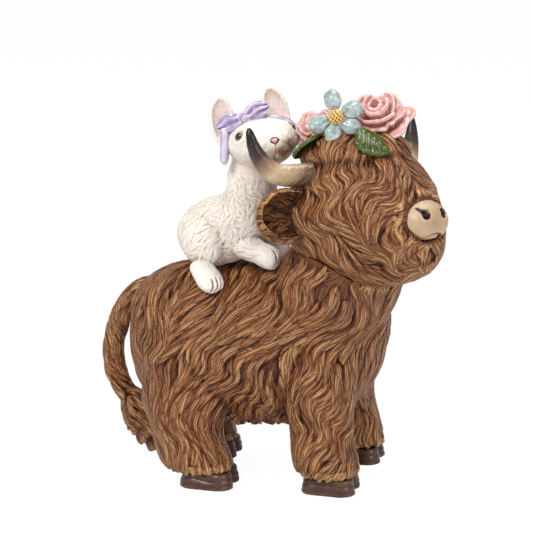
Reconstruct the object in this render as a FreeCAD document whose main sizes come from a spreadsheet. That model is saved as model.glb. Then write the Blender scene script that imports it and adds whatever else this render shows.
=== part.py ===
# Highland cow figurine: a shaggy cow stands with its head turned, a white rabbit with a
# ribbon rides on its back, and a wreath of flowers lies between its horns.
# Millimetres. The cow looks along +X, its left side is +Y and up is +Z.
# The origin is on the ground, under the middle of the figurine.
import FreeCAD, Part
import math
import os
import Sketcher

Vector = FreeCAD.Vector
Rotation = FreeCAD.Rotation
Placement = FreeCAD.Placement

os.makedirs("parts", exist_ok=True)
doc = FreeCAD.newDocument("CowFigurine")
sheet = doc.addObject("Spreadsheet::Sheet", "Sizes")

# every driving dimension, in millimetres, or in degrees where the name says angle
sizes = {
    # where the cow stands, so that the whole figurine is centred on the origin
    "standX": -4.5,
    "standY": 1.8,
    # the cow's trunk, and the mane that falls from its neck
    "trunkLength": 108.0,
    "trunkWidth": 65.0,
    "trunkHeight": 66.0,
    "trunkAxis": 56.0,
    "maneDepth": 54.0,
    "maneWidth": 56.0,
    "maneHeight": 83.0,
    # the head, turned to the cow's right and lifted a little
    "headX": 41.0,
    "headY": -11.0,
    "headZ": 111.7,
    "headLength": 64.0,
    "headWidth": 57.0,
    "headHeight": 58.0,
    "headTurnAngle": -35.0,
    "forelockBack": 1.9,
    "forelockUp": 23.8,
    "headLiftAngle": 7.0,
    "headRollAngle": -2.5,
    "forelockWidth": 44.0,
    "forelockHeight": 20.0,
    # the bare muzzle, with a lower lip set back under it
    "muzzleReach": 41.0,
    "muzzleWidth": 21.0,
    "muzzleHeight": 16.6,
    "lipStep": 0.8,
    "mouthRadius": 8.0,
    "nostrilLength": 4.6,
    "nostrilWidth": 2.6,
    "nostrilDepth": 3.0,
    "nostrilSpacing": 9.8,
    "nostrilUp": 0.8,
    "nostrilTurnAngle": 35.0,
    "nostrilRollAngle": 35.0,
    "mouthDrop": 7.3,
    # the legs: where each hip and each foot is, and the girth of the hair
    "foreHipX": 25.0,
    "foreHipY": 18.0,
    "foreFootRightX": 31.5,
    "foreFootRightY": -20.0,
    "foreFootLeftX": 33.5,
    "foreFootLeftY": 25.5,
    "hindHipX": -30.5,
    "hindHipY": 18.0,
    "hindFootRightX": -18.0,
    "hindFootRightY": -23.0,
    "hindFootLeftX": -27.0,
    "hindFootLeftY": 20.0,
    "forelegHeight": 76.0,
    "forelegDepth": 32.0,
    "forelegWidth": 26.0,
    "hindlegHeight": 68.0,
    "hindlegDepth": 37.0,
    "hindlegWidth": 27.0,
    # the cloven hooves; a leg's seat is how far its lower end reaches below their tops
    "hoofHeight": 6.5,
    "forelegSeat": 0.002,
    "hindlegSeat": -0.0008,
    "clawLength": 21.5,
    "clawWidth": 11.2,
    "clawSpacing": 9.6,
    "clawTaperAngle": 8.0,
    "clawSplayAngle": 5.0,
    # the tail and the tuft at its end
    "tailX": -45.0,
    "tailY": -1.0,
    "tailZ": 76.5,
    "tailReach": 20.0,
    "tailDrop": 52.0,
    "tailThickness": 10.6,
    "switchLength": 25.0,
    "switchThickness": 16.5,
    "switchDrop": 46.8,
    # horns and ears
    "hornBack": 4.0,
    "hornSide": 26.0,
    "hornUp": 17.0,
    "hornReach": 21.0,
    "hornRise": 20.0,
    "hornThickness": 9.0,
    "hornSweepAngle": 118.0,
    "earBack": 8.5,
    "earSide": 31.5,
    "earUp": 1.0,
    "earLength": 25.0,
    "earHeight": 22.0,
    "earDepth": 13.0,
    "earWall": 1.8,
    "earHollow": 3.1,
    "earSweepAngle": 122.0,
    # the rabbit on the cow's back
    "rabbitX": -20.5,
    "rabbitY": -5.0,
    "rabbitZ": 100.0,
    "rabbitLength": 30.0,
    "rabbitRise": 34.0,
    "rabbitGirth": 28.0,
    "rabbitHeadX": 0.0,
    "rabbitHeadY": -8.0,
    "rabbitHeadZ": 138.6,
    "rabbitHeadLength": 31.0,
    "rabbitHeadWidth": 30.0,
    "rabbitHeadHeight": 19.5,
    "rabbitHeadTurnAngle": -61.0,
    "rabbitHeadLiftAngle": 14.0,
    "rabbitHeadRollAngle": 7.0,
    "rabbitEarLength": 21.0,
    "rabbitEarWidth": 10.5,
    "rabbitEarThickness": 4.4,
    "rabbitEarWall": 0.9,
    "rabbitEarHollow": 1.8,
    "rabbitEarRightBack": 9.3,
    "rabbitEarRightSide": 12.3,
    "rabbitEarRightUp": 11.3,
    "rabbitEarRightRollAngle": -4.0,
    "rabbitEarLeftBack": 6.2,
    "rabbitEarLeftSide": 9.9,
    "rabbitEarLeftUp": 12.1,
    "rabbitEarLeftRollAngle": 12.0,
    "rabbitShoulderX": 10.8,
    "rabbitShoulderY": 7.0,
    "rabbitShoulderDrop": 1.7,
    "rabbitForelegTurnAngle": 10.0,
    "rabbitForelegDipAngle": 19.0,
    "rabbitForelegLength": 19.0,
    "rabbitForelegThickness": 10.6,
    "rabbitHipBack": 2.1,
    "rabbitHipY": 10.9,
    "rabbitHipDrop": 1.4,
    "rabbitThighTurnAngle": 8.0,
    "rabbitThighLiftAngle": 30.0,
    "rabbitThighRollAngle": 6.0,
    "rabbitThighLength": 18.0,
    "rabbitThighHeight": 20.0,
    "rabbitThighWidth": 13.0,
    "rabbitHeelBack": 3.3,
    "rabbitHeelY": 14.0,
    "rabbitHeelDrop": 9.5,
    "rabbitFootTurnAngle": 35.0,
    "rabbitFootDipAngle": 41.0,
    "rabbitFootLength": 15.0,
    "rabbitFootWidth": 11.0,
    "rabbitFootThickness": 8.6,
    "rabbitTailSize": 9.0,
    "rabbitTailBack": 12.0,
    "rabbitTailY": 5.6,
    "rabbitTailDrop": 0.7,
    "rabbitTailTurnAngle": 20.0,
    "rabbitTailLiftAngle": 15.0,
    "rabbitEyeSize": 3.4,
    "rabbitEyeReach": 7.4,
    "rabbitEyeSpacing": 21.0,
    "rabbitEyeUp": 2.5,
    "rabbitNoseReach": 17.0,
    "rabbitNoseDrop": 1.6,
    "rabbitNoseWidth": 4.6,
    "rabbitNoseHeight": 2.8,
    # the ribbon and bow round the rabbit's head
    "ribbonWidth": 3.2,
    "ribbonThickness": 0.9,
    "ribbonForward": 0.6,
    "ribbonDrop": 2.3,
    "ribbonTurnAngle": -13.0,
    "ribbonLiftAngle": -5.0,
    "bowLoopLength": 11.0,
    "bowLoopWidth": 6.6,
    "bowLoopThickness": 4.4,
    "bowLoopRightTurnAngle": -105.0,
    "bowLoopRightLiftAngle": -16.0,
    "bowLoopLeftTurnAngle": 78.0,
    "bowLoopLeftLiftAngle": 14.0,
    "bowKnotSize": 4.2,
    "bowKnotForward": 3.1,
    "bowKnotSide": 6.9,
    "bowKnotUp": 10.1,
    "bowTailLength": 14.0,
    "bowTailWidth": 4.0,
    "bowTailThickness": 1.8,
    "bowTailBack": 2.0,
    "bowTailSide": 7.3,
    "bowTailDrop": 2.5,
    "bowTailTurnAngle": -110.0,
    "bowTailDipAngle": 78.0,
    # the flowers between the cow's horns; each one's height is over the crown of the forelock
    "blueFlowerForward": 2.1,
    "blueFlowerSide": 13.3,
    "blueFlowerUp": 4.6,
    "blueFlowerTurnAngle": -42.0,
    "blueFlowerLiftAngle": 12.0,
    "blueFlowerRadius": 6.8,
    "bluePetalLength": 8.8,
    "bluePetalWidth": 8.0,
    "bluePetalThickness": 3.4,
    "flowerCentreSize": 6.4,
    "bluePetalTurnAngle": 7.0,
    "bluePetalLiftAngle": 9.0,
    "roseRadius": 12.0,
    "roseForward": 5.1,
    "roseSide": 5.7,
    "roseUp": 2.7,
    "roseTurnAngle": -50.0,
    "roseLiftAngle": 50.0,
    "smallRoseRadius": 8.5,
    "smallRoseBack": 14.7,
    "smallRoseSide": 8.0,
    "smallRoseUp": -0.2,
    "smallRoseTurnAngle": -60.0,
    "smallRoseLiftAngle": 40.0,
    "leafLength": 15.0,
    "leafWidth": 11.0,
    "leafThickness": 1.8,
    "leafRightForward": 10.5,
    "leafRightSide": 10.2,
    "leafRightUp": -0.6,
    "leafRightTurnAngle": 28.0,
    "leafRightLiftAngle": -38.0,
    "leafRightRollAngle": 20.0,
    "leafLeftBack": 3.8,
    "leafLeftSide": 16.2,
    "leafLeftUp": -1.9,
    "leafLeftTurnAngle": -165.0,
    "leafLeftLiftAngle": -33.0,
}
for row, (alias, amount) in enumerate(sizes.items(), 1):
    sheet.set(f"A{row}", alias)
    sheet.set(f"B{row}", str(amount))
    sheet.setAlias(f"B{row}", alias)
doc.recompute()


class Size:
    # an amount worked out from the sheet, with the expression that binds it

    def __init__(self, amount, text):
        self.amount = amount
        self.text = text

    def __mul__(self, share):
        return Size(self.amount * share, f"({self.text}) * ({share:.6g})")

    def __add__(self, other):
        return Size(self.amount + other.amount, f"{self.text} + {other.text}")

    def __sub__(self, other):
        return self + other * -1

    def __neg__(self):
        return self * -1


def size(alias):
    return Size(sizes[alias], "Sizes." + alias)


none = size("trunkLength") * 0


def bind(item, path, amount):
    item.setExpression(path, amount.text)


def turned(turn=0.0, lift=0.0, roll=0.0):
    # degrees: a turn to the left, then the front lifted, then the left side lifted over
    heading = Rotation(Vector(0, 0, 1), turn)
    return heading * Rotation(Vector(0, 1, 0), -lift) * Rotation(Vector(1, 0, 0), roll)


class Frame:
    # a place and a direction that a piece is modelled in

    def __init__(self, x, y, z, rotation):
        self.base = (x, y, z)
        self.rotation = rotation

    def inner(self, x, y, z, rotation=Rotation()):
        axes = [self.rotation.multVec(axis) for axis in (Vector(1, 0, 0), Vector(0, 1, 0), Vector(0, 0, 1))]
        place = []
        for index, base in enumerate(self.base):
            place.append(base + x * axes[0][index] + y * axes[1][index] + z * axes[2][index])
        return Frame(*place, self.rotation * rotation)

    def place(self, item):
        item.Placement = Placement(Vector(*[part.amount for part in self.base]), self.rotation)
        for axis, part in zip("xyz", self.base):
            bind(item, "Placement.Base." + axis, part)
        return item


cowFrame = Frame(size("standX"), size("standY"), none, Rotation())
headFrame = cowFrame.inner(
    size("headX"), size("headY"), size("headZ"),
    turned(sizes["headTurnAngle"], sizes["headLiftAngle"], sizes["headRollAngle"]))
rabbitFrame = cowFrame.inner(size("rabbitX"), size("rabbitY"), size("rabbitZ"))
rabbitHeadFrame = cowFrame.inner(
    size("rabbitHeadX"), size("rabbitHeadY"), size("rabbitHeadZ"),
    turned(sizes["rabbitHeadTurnAngle"], sizes["rabbitHeadLiftAngle"], sizes["rabbitHeadRollAngle"]))
pieces = []
alongX = Vector(1, 0, 0)
upZ = Vector(0, 0, 1)
sides = {"right": -1, "left": 1}
ellipsoidRingAngles = (-80, -58, -36, -12, 12, 36, 58, 80)


def ring(centre, across, up, facing):
    # an ellipse, its wider axis first, with its seam always on the left side
    side = Vector(0, 1, 0)
    rise = Vector(-facing.z, 0, facing.x)
    item = doc.addObject("Part::Ellipse", "Ring")
    if across.amount >= up.amount:
        rotation = Rotation(side, rise, facing, "XYZ")
        wide, narrow = across, up
    else:
        rotation = Rotation(rise, -side, facing, "XYZ")
        wide, narrow = up, across
        item.Angle1 = 270
        item.Angle2 = 270
    bind(item, "MajorRadius", wide)
    bind(item, "MinorRadius", narrow)
    return Frame(*centre, rotation).place(item)


def loft(frame, rows, facing=None):
    # a smooth form through rings; without a facing the rings follow the line of their centres
    points = [Vector(row[0].amount, row[1].amount, row[2].amount) for row in rows]
    rings = []
    for index, (x, y, z, across, up) in enumerate(rows):
        direction = facing
        if direction is None:
            ahead = points[min(index + 1, len(points) - 1)]
            behind = points[max(index - 1, 0)]
            direction = Vector(ahead.x - behind.x, 0, ahead.z - behind.z).normalize()
        rings.append(ring((x, y, z), across, up, direction))
    item = doc.addObject("Part::Loft", "Form")
    item.Sections = rings
    item.Solid = True
    item.Ruled = False
    return frame.place(item)


def scaled(shares, length, width, height, across, up):
    # the rows of a ring table in millimetres
    rows = []
    for row in shares:
        rows.append((length * row[0], width * row[1], height * row[2], across * row[3], up * row[4]))
    return rows


def ellipsoid(frame, length, width, height):
    # rings along the longest axis, spaced as on a circle
    if height.amount > max(length.amount, width.amount):
        frame = frame.inner(none, none, none, Rotation(Vector(0, 1, 0), -90))
        length, height = height, length
    elif width.amount > length.amount:
        frame = frame.inner(none, none, none, Rotation(upZ, 90))
        length, width = width, length
    rows = []
    for angle in ellipsoidRingAngles:
        along = math.sin(math.radians(angle)) * 0.5
        girth = math.cos(math.radians(angle)) * 0.5
        rows.append((length * along, none, none, width * girth, height * girth))
    return loft(frame, rows, alongX)


def cut(base, *tools):
    for tool in tools:
        item = doc.addObject("Part::Cut", "Trimmed")
        item.Base = base
        item.Tool = tool
        base = item
    return base


def join(*items):
    item = doc.addObject("Part::MultiFuse", "Joined")
    item.Shapes = list(items)
    return item


def common(base, tool):
    item = doc.addObject("Part::Common", "Shared")
    item.Base = base
    item.Tool = tool
    return item


def keep(item, label):
    item.Label = label
    pieces.append(item)
    return item


# each row of a ring table: x, y and z of the centre, half the width, half the height or depth
trunkShares = (
    (-0.539, 0, 0.964, 0.062, 0.076),
    (-0.52, 0, 0.979, 0.185, 0.205),
    (-0.487, 0, 1, 0.285, 0.31),
    (-0.426, 0, 1.009, 0.385, 0.394),
    (-0.324, 0, 1, 0.462, 0.462),
    (-0.176, 0, 1, 0.492, 0.492),
    (0.009, 0, 1.004, 0.5, 0.5),
    (0.185, 0, 1.036, 0.477, 0.5),
    (0.306, 0, 1.08, 0.415, 0.477),
    (0.389, 0, 1.125, 0.308, 0.394),
    (0.44, 0, 1.143, 0.185, 0.258),
    (0.468, 0, 1.152, 0.062, 0.091),
)
maneShares = (
    (0.407, 0, 0.41, 0.161, 0.148),
    (0.407, 0, 0.458, 0.321, 0.269),
    (0.417, 0, 0.578, 0.42, 0.407),
    (0.435, -0.018, 0.711, 0.464, 0.454),
    (0.481, -0.045, 0.855, 0.491, 0.481),
    (0.574, -0.089, 1, 0.5, 0.481),
    (0.667, -0.134, 1.145, 0.482, 0.454),
    (0.741, -0.17, 1.277, 0.446, 0.407),
    (0.778, -0.188, 1.386, 0.357, 0.333),
)
headShares = (
    (-0.422, 0, 0, 0.14, 0.138),
    (-0.375, 0, 0, 0.298, 0.276),
    (-0.25, 0, 0, 0.439, 0.422),
    (-0.063, 0, 0, 0.5, 0.491),
    (0.109, 0, -0.009, 0.495, 0.497),
    (0.266, 0, -0.034, 0.43, 0.452),
    (0.391, 0, -0.069, 0.342, 0.379),
    (0.484, 0, -0.103, 0.254, 0.302),
    (0.547, 0, -0.129, 0.175, 0.216),
    (0.578, 0, -0.138, 0.088, 0.103),
)
muzzleShares = (
    (0.54, 0, -0.12, 0.476, 0.47),
    (0.76, 0, -0.139, 0.5, 0.5),
    (0.88, 0, -0.151, 0.476, 0.482),
    (0.95, 0, -0.163, 0.41, 0.41),
    (0.995, 0, -0.169, 0.286, 0.265),
    (1.007, 0, -0.169, 0.143, 0.12),
)
# each row of a leg table: how far the ring has moved from the hip to the foot, x, the height
# over the leg's lower end, half the width, half the depth
forelegShares = (
    (1, -0.047, 0, 0.423, 0.359),
    (1, -0.06, 0.0265, 0.462, 0.384),
    (0.85, -0.078, 0.1385, 0.462, 0.394),
    (0.45, -0.06, 0.3885, 0.481, 0.444),
    (0.2, -0.025, 0.5725, 0.5, 0.5),
    (0, 0, 0.7565, 0.442, 0.484),
    (0, 0, 0.9145, 0.231, 0.25),
)
hindlegShares = (
    (1, -0.122, 0, 0.419, 0.338),
    (1, -0.141, 0.0294, 0.456, 0.368),
    (0.85, -0.165, 0.1254, 0.467, 0.384),
    (0.5, -0.114, 0.3164, 0.481, 0.438),
    (0.2, -0.054, 0.5224, 0.5, 0.5),
    (0, 0, 0.7284, 0.463, 0.486),
    (0, 0, 0.9044, 0.278, 0.297),
)
tailShares = (
    (0, 0, 0, 0.5, 0.5),
    (-0.25, 0, -0.036, 0.5, 0.5),
    (-0.6, 0, -0.145, 0.445, 0.445),
    (-0.875, 0, -0.327, 0.4, 0.4),
    (-1, 0, -0.545, 0.39, 0.39),
    (-0.95, 0, -0.727, 0.382, 0.382),
    (-0.72, 0, -0.891, 0.382, 0.382),
    (-0.45, 0, -1, 0.373, 0.373),
)
switchShares = (
    (-0.54, 0, 0.04, 0.188, 0.188),
    (-0.47, 0, -0.08, 0.344, 0.33),
    (-0.36, 0, -0.26, 0.475, 0.45),
    (-0.24, 0, -0.48, 0.463, 0.44),
    (-0.14, 0, -0.68, 0.313, 0.3),
    (-0.08, 0, -0.84, 0.15, 0.15),
    (-0.06, 0, -0.92, 0.05, 0.05),
)
hornShares = (
    (-0.19, 0, 0.015, 0.489, 0.489),
    (0, 0, 0, 0.489, 0.489),
    (0.21, 0, -0.005, 0.489, 0.489),
    (0.462, 0, 0.02, 0.478, 0.478),
    (0.657, 0, 0.13, 0.45, 0.45),
    (0.795, 0, 0.305, 0.389, 0.389),
    (0.905, 0, 0.515, 0.322, 0.322),
    (0.971, 0, 0.75, 0.228, 0.228),
    (1, 0, 0.9, 0.144, 0.144),
    (1.007, 0, 0.965, 0.056, 0.056),
)
rabbitBodyShares = (
    (-0.433, 0, -0.162, 0.143, 0.161),
    (-0.367, 0, -0.132, 0.321, 0.321),
    (-0.233, 0, -0.088, 0.439, 0.429),
    (0, 0, 0, 0.5, 0.5),
    (0.233, 0, 0.103, 0.511, 0.5),
    (0.433, 0, 0.279, 0.454, 0.438),
    (0.5, 0, 0.515, 0.375, 0.339),
    (0.52, 0, 0.765, 0.321, 0.304),
    (0.55, 0, 1, 0.286, 0.286),
)
rabbitHeadShares = (
    (-0.4, 0, 0.045, 0.125, 0.159),
    (-0.35, 0, 0.045, 0.268, 0.318),
    (-0.167, 0, 0.036, 0.439, 0.455),
    (0.033, 0, 0.009, 0.5, 0.491),
    (0.233, 0, -0.027, 0.436, 0.436),
    (0.4, 0, -0.064, 0.321, 0.336),
    (0.517, 0, -0.091, 0.214, 0.227),
    (0.583, 0, -0.1, 0.093, 0.1),
)
rabbitForelegShares = (
    (-0.2, 0, 0.1, 0.28, 0.28),
    (0, 0, 0.04, 0.46, 0.48),
    (0.3, 0, 0, 0.5, 0.52),
    (0.6, 0, -0.04, 0.43, 0.45),
    (0.85, 0, -0.06, 0.46, 0.44),
    (0.97, 0, -0.08, 0.38, 0.36),
    (1.03, 0, -0.09, 0.18, 0.17),
)
rabbitFootShares = (
    (0, 0, 0, 0.24, 0.24),
    (0.1, 0, 0, 0.42, 0.42),
    (0.4, 0, 0, 0.5, 0.48),
    (0.75, 0, 0, 0.5, 0.46),
    (0.93, 0, 0, 0.36, 0.34),
    (1, 0, 0, 0.16, 0.16),
)
bowLoopShares = (
    (0, 0, 0, 0.2, 0.26),
    (0.2, 0, 0.02, 0.34, 0.4),
    (0.5, 0, 0.06, 0.5, 0.5),
    (0.8, 0, 0.04, 0.44, 0.44),
    (0.96, 0, 0.02, 0.24, 0.26),
    (1, 0, 0, 0.1, 0.12),
)


# the trunk, the mane and the head, each seated on the one before it
trunkForm = loft(cowFrame, scaled(
    trunkShares, size("trunkLength"), none, size("trunkAxis"), size("trunkWidth"), size("trunkHeight")), alongX)
maneForm = loft(cowFrame, scaled(
    maneShares, size("maneDepth"), size("maneWidth"), size("maneHeight"),
    size("maneWidth"), size("maneDepth")), upZ)
headForm = loft(headFrame, scaled(
    headShares, size("headLength"), none, size("headHeight"), size("headWidth"), size("headHeight")), alongX)
muzzleForm = loft(headFrame, scaled(
    muzzleShares, size("muzzleReach"), none, size("muzzleHeight"),
    size("muzzleWidth"), size("muzzleHeight")), alongX)
forelockForm = ellipsoid(
    headFrame.inner(-size("forelockBack"), none, size("forelockUp")),
    size("forelockWidth"), size("forelockWidth"), size("forelockHeight"))
keep(trunkForm, "trunk")
keep(cut(maneForm, trunkForm, headForm, forelockForm), "mane")
keep(cut(headForm, muzzleForm, trunkForm), "head")
keep(cut(forelockForm, headForm), "forelock")


def nostril(side):
    # a slanting hollow that runs back and outward from the front of the muzzle
    place = headFrame.inner(
        size("muzzleReach"), size("nostrilSpacing") * (0.5 * side), size("nostrilUp"),
        turned(side * sizes["nostrilTurnAngle"], 0, side * sizes["nostrilRollAngle"]))
    return ellipsoid(place, size("nostrilDepth") * 2, size("nostrilWidth"), size("nostrilLength"))


def mouthArch():
    # the round bar that parts the muzzle from the lower lip
    bar = doc.addObject("Part::Cylinder", "MouthArch")
    bind(bar, "Radius", size("mouthRadius"))
    bind(bar, "Height", size("muzzleReach"))
    start = size("muzzleReach") * 0.5
    drop = -size("mouthDrop") - size("mouthRadius")
    return headFrame.inner(start, none, drop, Rotation(Vector(0, 1, 0), 90)).place(bar)


def muzzle():
    arch = mouthArch()
    lipForm = loft(headFrame, scaled(
        muzzleShares, size("muzzleReach") - size("lipStep"), none, size("muzzleHeight"),
        size("muzzleWidth") - size("lipStep") * 2, size("muzzleHeight") - size("lipStep") * 2), alongX)
    keep(cut(muzzleForm, arch, nostril(-1), nostril(1)), "muzzle")
    keep(common(lipForm, arch), "lower_lip")


muzzle()


# the legs stand on cloven hooves
def leg(hip, foot, height, depth, width, seat, shares):
    rows = []
    lowerEnd = size("hoofHeight") - seat
    for row in shares:
        x = hip[0] + (foot[0] - hip[0]) * row[0] + depth * row[1]
        y = hip[1] + (foot[1] - hip[1]) * row[0]
        rows.append((x, y, lowerEnd + height * row[2], width * row[3], depth * row[4]))
    return loft(cowFrame, rows, upZ)


def originPlane(body, role):
    return [item for item in body.Origin.OriginFeatures if item.Role == role][0]


def clawSketch(body):
    # one claw's outline: a long slot beside the middle of the hoof
    sketch = body.newObject("Sketcher::SketchObject", "ClawOutline")
    sketch.AttachmentSupport = [(originPlane(body, "XY_Plane"), "")]
    sketch.MapMode = "FlatFace"
    sketch.AttachmentOffset = Placement(Vector(0, 0, 0), Rotation(upZ, sizes["clawSplayAngle"]))
    reach = (size("clawLength") - size("clawWidth")) * 0.5
    radius = size("clawWidth") * 0.5
    middle = size("clawSpacing") * 0.5
    toe = Part.Circle(Vector(reach.amount, middle.amount, 0), upZ, radius.amount)
    heel = Part.Circle(Vector(-reach.amount, middle.amount, 0), upZ, radius.amount)
    sketch.addGeometry(Part.ArcOfCircle(toe, -math.pi / 2, math.pi / 2), False)
    sketch.addGeometry(Part.ArcOfCircle(heel, math.pi / 2, math.pi * 3 / 2), False)
    for level, first in ((middle + radius, reach), (middle - radius, -reach)):
        start = Vector(first.amount, level.amount, 0)
        end = Vector(-first.amount, level.amount, 0)
        sketch.addGeometry(Part.LineSegment(start, end), False)
    for first, firstEnd, second, secondEnd in ((0, 2, 2, 1), (2, 2, 1, 1), (1, 2, 3, 1), (3, 2, 0, 1)):
        sketch.addConstraint(Sketcher.Constraint("Tangent", first, firstEnd, second, secondEnd))
    sketch.addConstraint(Sketcher.Constraint("Equal", 0, 1))
    drivers = {
        "clawRadius": (Sketcher.Constraint("Radius", 0, radius.amount), radius),
        "clawToe": (Sketcher.Constraint("DistanceX", -1, 1, 0, 3, reach.amount), reach),
        "clawHeel": (Sketcher.Constraint("DistanceX", 1, 3, -1, 1, reach.amount), reach),
        "clawSide": (Sketcher.Constraint("DistanceY", -1, 1, 0, 3, middle.amount), middle),
    }
    for name, (constraint, amount) in drivers.items():
        index = sketch.addConstraint(constraint)
        sketch.renameConstraint(index, name)
        bind(sketch, "Constraints." + name, amount)
    return sketch


def hoof(label, x, y):
    # two claws that taper upward, side by side and a little apart at the toe
    body = doc.addObject("PartDesign::Body", "Hoof")
    claw = body.newObject("PartDesign::Pad", "Claw")
    claw.Profile = clawSketch(body)
    bind(claw, "Length", size("hoofHeight"))
    bind(claw, "TaperAngle", -size("clawTaperAngle"))
    doc.recompute()
    twin = body.newObject("PartDesign::Mirrored", "TwinClaw")
    twin.Originals = [claw]
    twin.MirrorPlane = (originPlane(body, "XZ_Plane"), [""])
    body.Tip = twin
    cowFrame.inner(x, y, none).place(body)
    return keep(body, label)


hindlegForms = {}
for sideName, side in sides.items():
    foot = (size(f"foreFoot{sideName.title()}X"), size(f"foreFoot{sideName.title()}Y"))
    hip = (size("foreHipX"), size("foreHipY") * side)
    form = leg(
        hip, foot, size("forelegHeight"), size("forelegDepth"), size("forelegWidth"), size("forelegSeat"),
        forelegShares)
    keep(cut(form, trunkForm, maneForm), "foreleg_" + sideName)
    hoof("fore_hoof_" + sideName, *foot)
    foot = (size(f"hindFoot{sideName.title()}X"), size(f"hindFoot{sideName.title()}Y"))
    hip = (size("hindHipX"), size("hindHipY") * side)
    form = leg(
        hip, foot, size("hindlegHeight"), size("hindlegDepth"), size("hindlegWidth"), size("hindlegSeat"),
        hindlegShares)
    hindlegForms[sideName] = form
    keep(cut(form, trunkForm), "hindleg_" + sideName)
    hoof("hind_hoof_" + sideName, *foot)


# the tail curls down behind the near hind leg and ends in a tuft
tailFrame = cowFrame.inner(size("tailX"), size("tailY"), size("tailZ"))
tailForm = loft(tailFrame, scaled(
    tailShares, size("tailReach"), none, size("tailDrop"), size("tailThickness"), size("tailThickness")))
switchFrame = tailFrame.inner(none, none, -size("switchDrop"))
switchForm = loft(switchFrame, scaled(
    switchShares, size("switchLength"), none, size("switchLength"),
    size("switchThickness"), size("switchThickness")))
keep(cut(tailForm, trunkForm), "tail")
keep(cut(switchForm, tailForm, hindlegForms["right"], hindlegForms["left"]), "tail_switch")


# the horns sweep out and back, then turn up; the ears lie under them
def horn(sideName, side):
    place = headFrame.inner(
        -size("hornBack"), size("hornSide") * side, size("hornUp"), turned(side * sizes["hornSweepAngle"]))
    form = loft(place, scaled(
        hornShares, size("hornReach"), none, size("hornRise"), size("hornThickness"), size("hornThickness")))
    keep(cut(form, headForm), "horn_" + sideName)


def ear(sideName, side):
    place = headFrame.inner(
        -size("earBack"), size("earSide") * side, size("earUp"),
        turned(side * sizes["earSweepAngle"], 0, 90 + 90 * side))
    outer = ellipsoid(place, size("earLength"), size("earDepth"), size("earHeight"))
    hollow = place.inner(none, size("earHollow"), size("earWall") * (-0.5 * side))
    inner = ellipsoid(
        hollow, size("earLength") - size("earWall") * 2, size("earDepth") - size("earWall"),
        size("earHeight") - size("earWall") * 2)
    keep(cut(outer, inner, headForm), "ear_" + sideName)


for sideName, side in sides.items():
    horn(sideName, side)
    ear(sideName, side)


# the rabbit lies on the cow's back with its chest up and its head turned to the front
rabbitHeadForm = loft(rabbitHeadFrame, scaled(
    rabbitHeadShares, size("rabbitHeadLength"), none, size("rabbitHeadHeight"),
    size("rabbitHeadWidth"), size("rabbitHeadHeight")), alongX)
rabbitBodyForm = loft(rabbitFrame, scaled(
    rabbitBodyShares, size("rabbitLength"), none, size("rabbitRise"),
    size("rabbitGirth"), size("rabbitGirth")))
keep(cut(rabbitBodyForm, trunkForm, maneForm, rabbitHeadForm), "rabbit_body")


def rabbitLimbs(sideName, side):
    shoulder = rabbitFrame.inner(
        size("rabbitShoulderX"), size("rabbitShoulderY") * side, -size("rabbitShoulderDrop"),
        turned(side * sizes["rabbitForelegTurnAngle"], -sizes["rabbitForelegDipAngle"]))
    foreleg = loft(shoulder, scaled(
        rabbitForelegShares, size("rabbitForelegLength"), none, size("rabbitForelegThickness"),
        size("rabbitForelegThickness"), size("rabbitForelegThickness")), alongX)
    keep(cut(foreleg, rabbitBodyForm, trunkForm, maneForm), "rabbit_foreleg_" + sideName)
    hip = rabbitFrame.inner(
        -size("rabbitHipBack"), size("rabbitHipY") * side, -size("rabbitHipDrop"),
        turned(
            side * sizes["rabbitThighTurnAngle"], sizes["rabbitThighLiftAngle"],
            side * sizes["rabbitThighRollAngle"]))
    thigh = ellipsoid(hip, size("rabbitThighLength"), size("rabbitThighWidth"), size("rabbitThighHeight"))
    keep(cut(thigh, rabbitBodyForm, trunkForm), "rabbit_thigh_" + sideName)
    heel = rabbitFrame.inner(
        -size("rabbitHeelBack"), size("rabbitHeelY") * side, -size("rabbitHeelDrop"),
        turned(side * sizes["rabbitFootTurnAngle"], -sizes["rabbitFootDipAngle"]))
    foot = loft(heel, scaled(
        rabbitFootShares, size("rabbitFootLength"), none, none,
        size("rabbitFootWidth"), size("rabbitFootThickness")), alongX)
    keep(cut(foot, thigh, rabbitBodyForm, trunkForm), "rabbit_foot_" + sideName)


for sideName, side in sides.items():
    rabbitLimbs(sideName, side)


def rabbitEar(sideName, side):
    # a cup that opens to the front
    name = "rabbitEar" + sideName.title()
    place = rabbitHeadFrame.inner(
        -size(name + "Back"), size(name + "Side") * side, size(name + "Up"),
        turned(0, 0, sizes[name + "RollAngle"]))
    outer = ellipsoid(place, size("rabbitEarThickness"), size("rabbitEarWidth"), size("rabbitEarLength"))
    hollow = place.inner(size("rabbitEarHollow"), none, none)
    inner = ellipsoid(
        hollow, size("rabbitEarThickness"), size("rabbitEarWidth") - size("rabbitEarWall") * 2,
        size("rabbitEarLength") - size("rabbitEarWall") * 4)
    keep(cut(outer, inner, rabbitHeadForm), "rabbit_ear_" + sideName)


for sideName, side in sides.items():
    rabbitEar(sideName, side)


def rabbitFace():
    # the eyes and the nose are set into the head
    features = []
    for sideName, side in sides.items():
        place = rabbitHeadFrame.inner(
            size("rabbitEyeReach"), size("rabbitEyeSpacing") * (0.5 * side), size("rabbitEyeUp"))
        eye = ellipsoid(place, size("rabbitEyeSize"), size("rabbitEyeSize"), size("rabbitEyeSize"))
        features.append(keep(eye, "rabbit_eye_" + sideName))
    place = rabbitHeadFrame.inner(size("rabbitNoseReach"), none, -size("rabbitNoseDrop"))
    nose = ellipsoid(place, size("rabbitNoseHeight"), size("rabbitNoseWidth"), size("rabbitNoseHeight"))
    features.append(keep(nose, "rabbit_nose"))
    keep(cut(rabbitHeadForm, *features), "rabbit_head")


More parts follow.
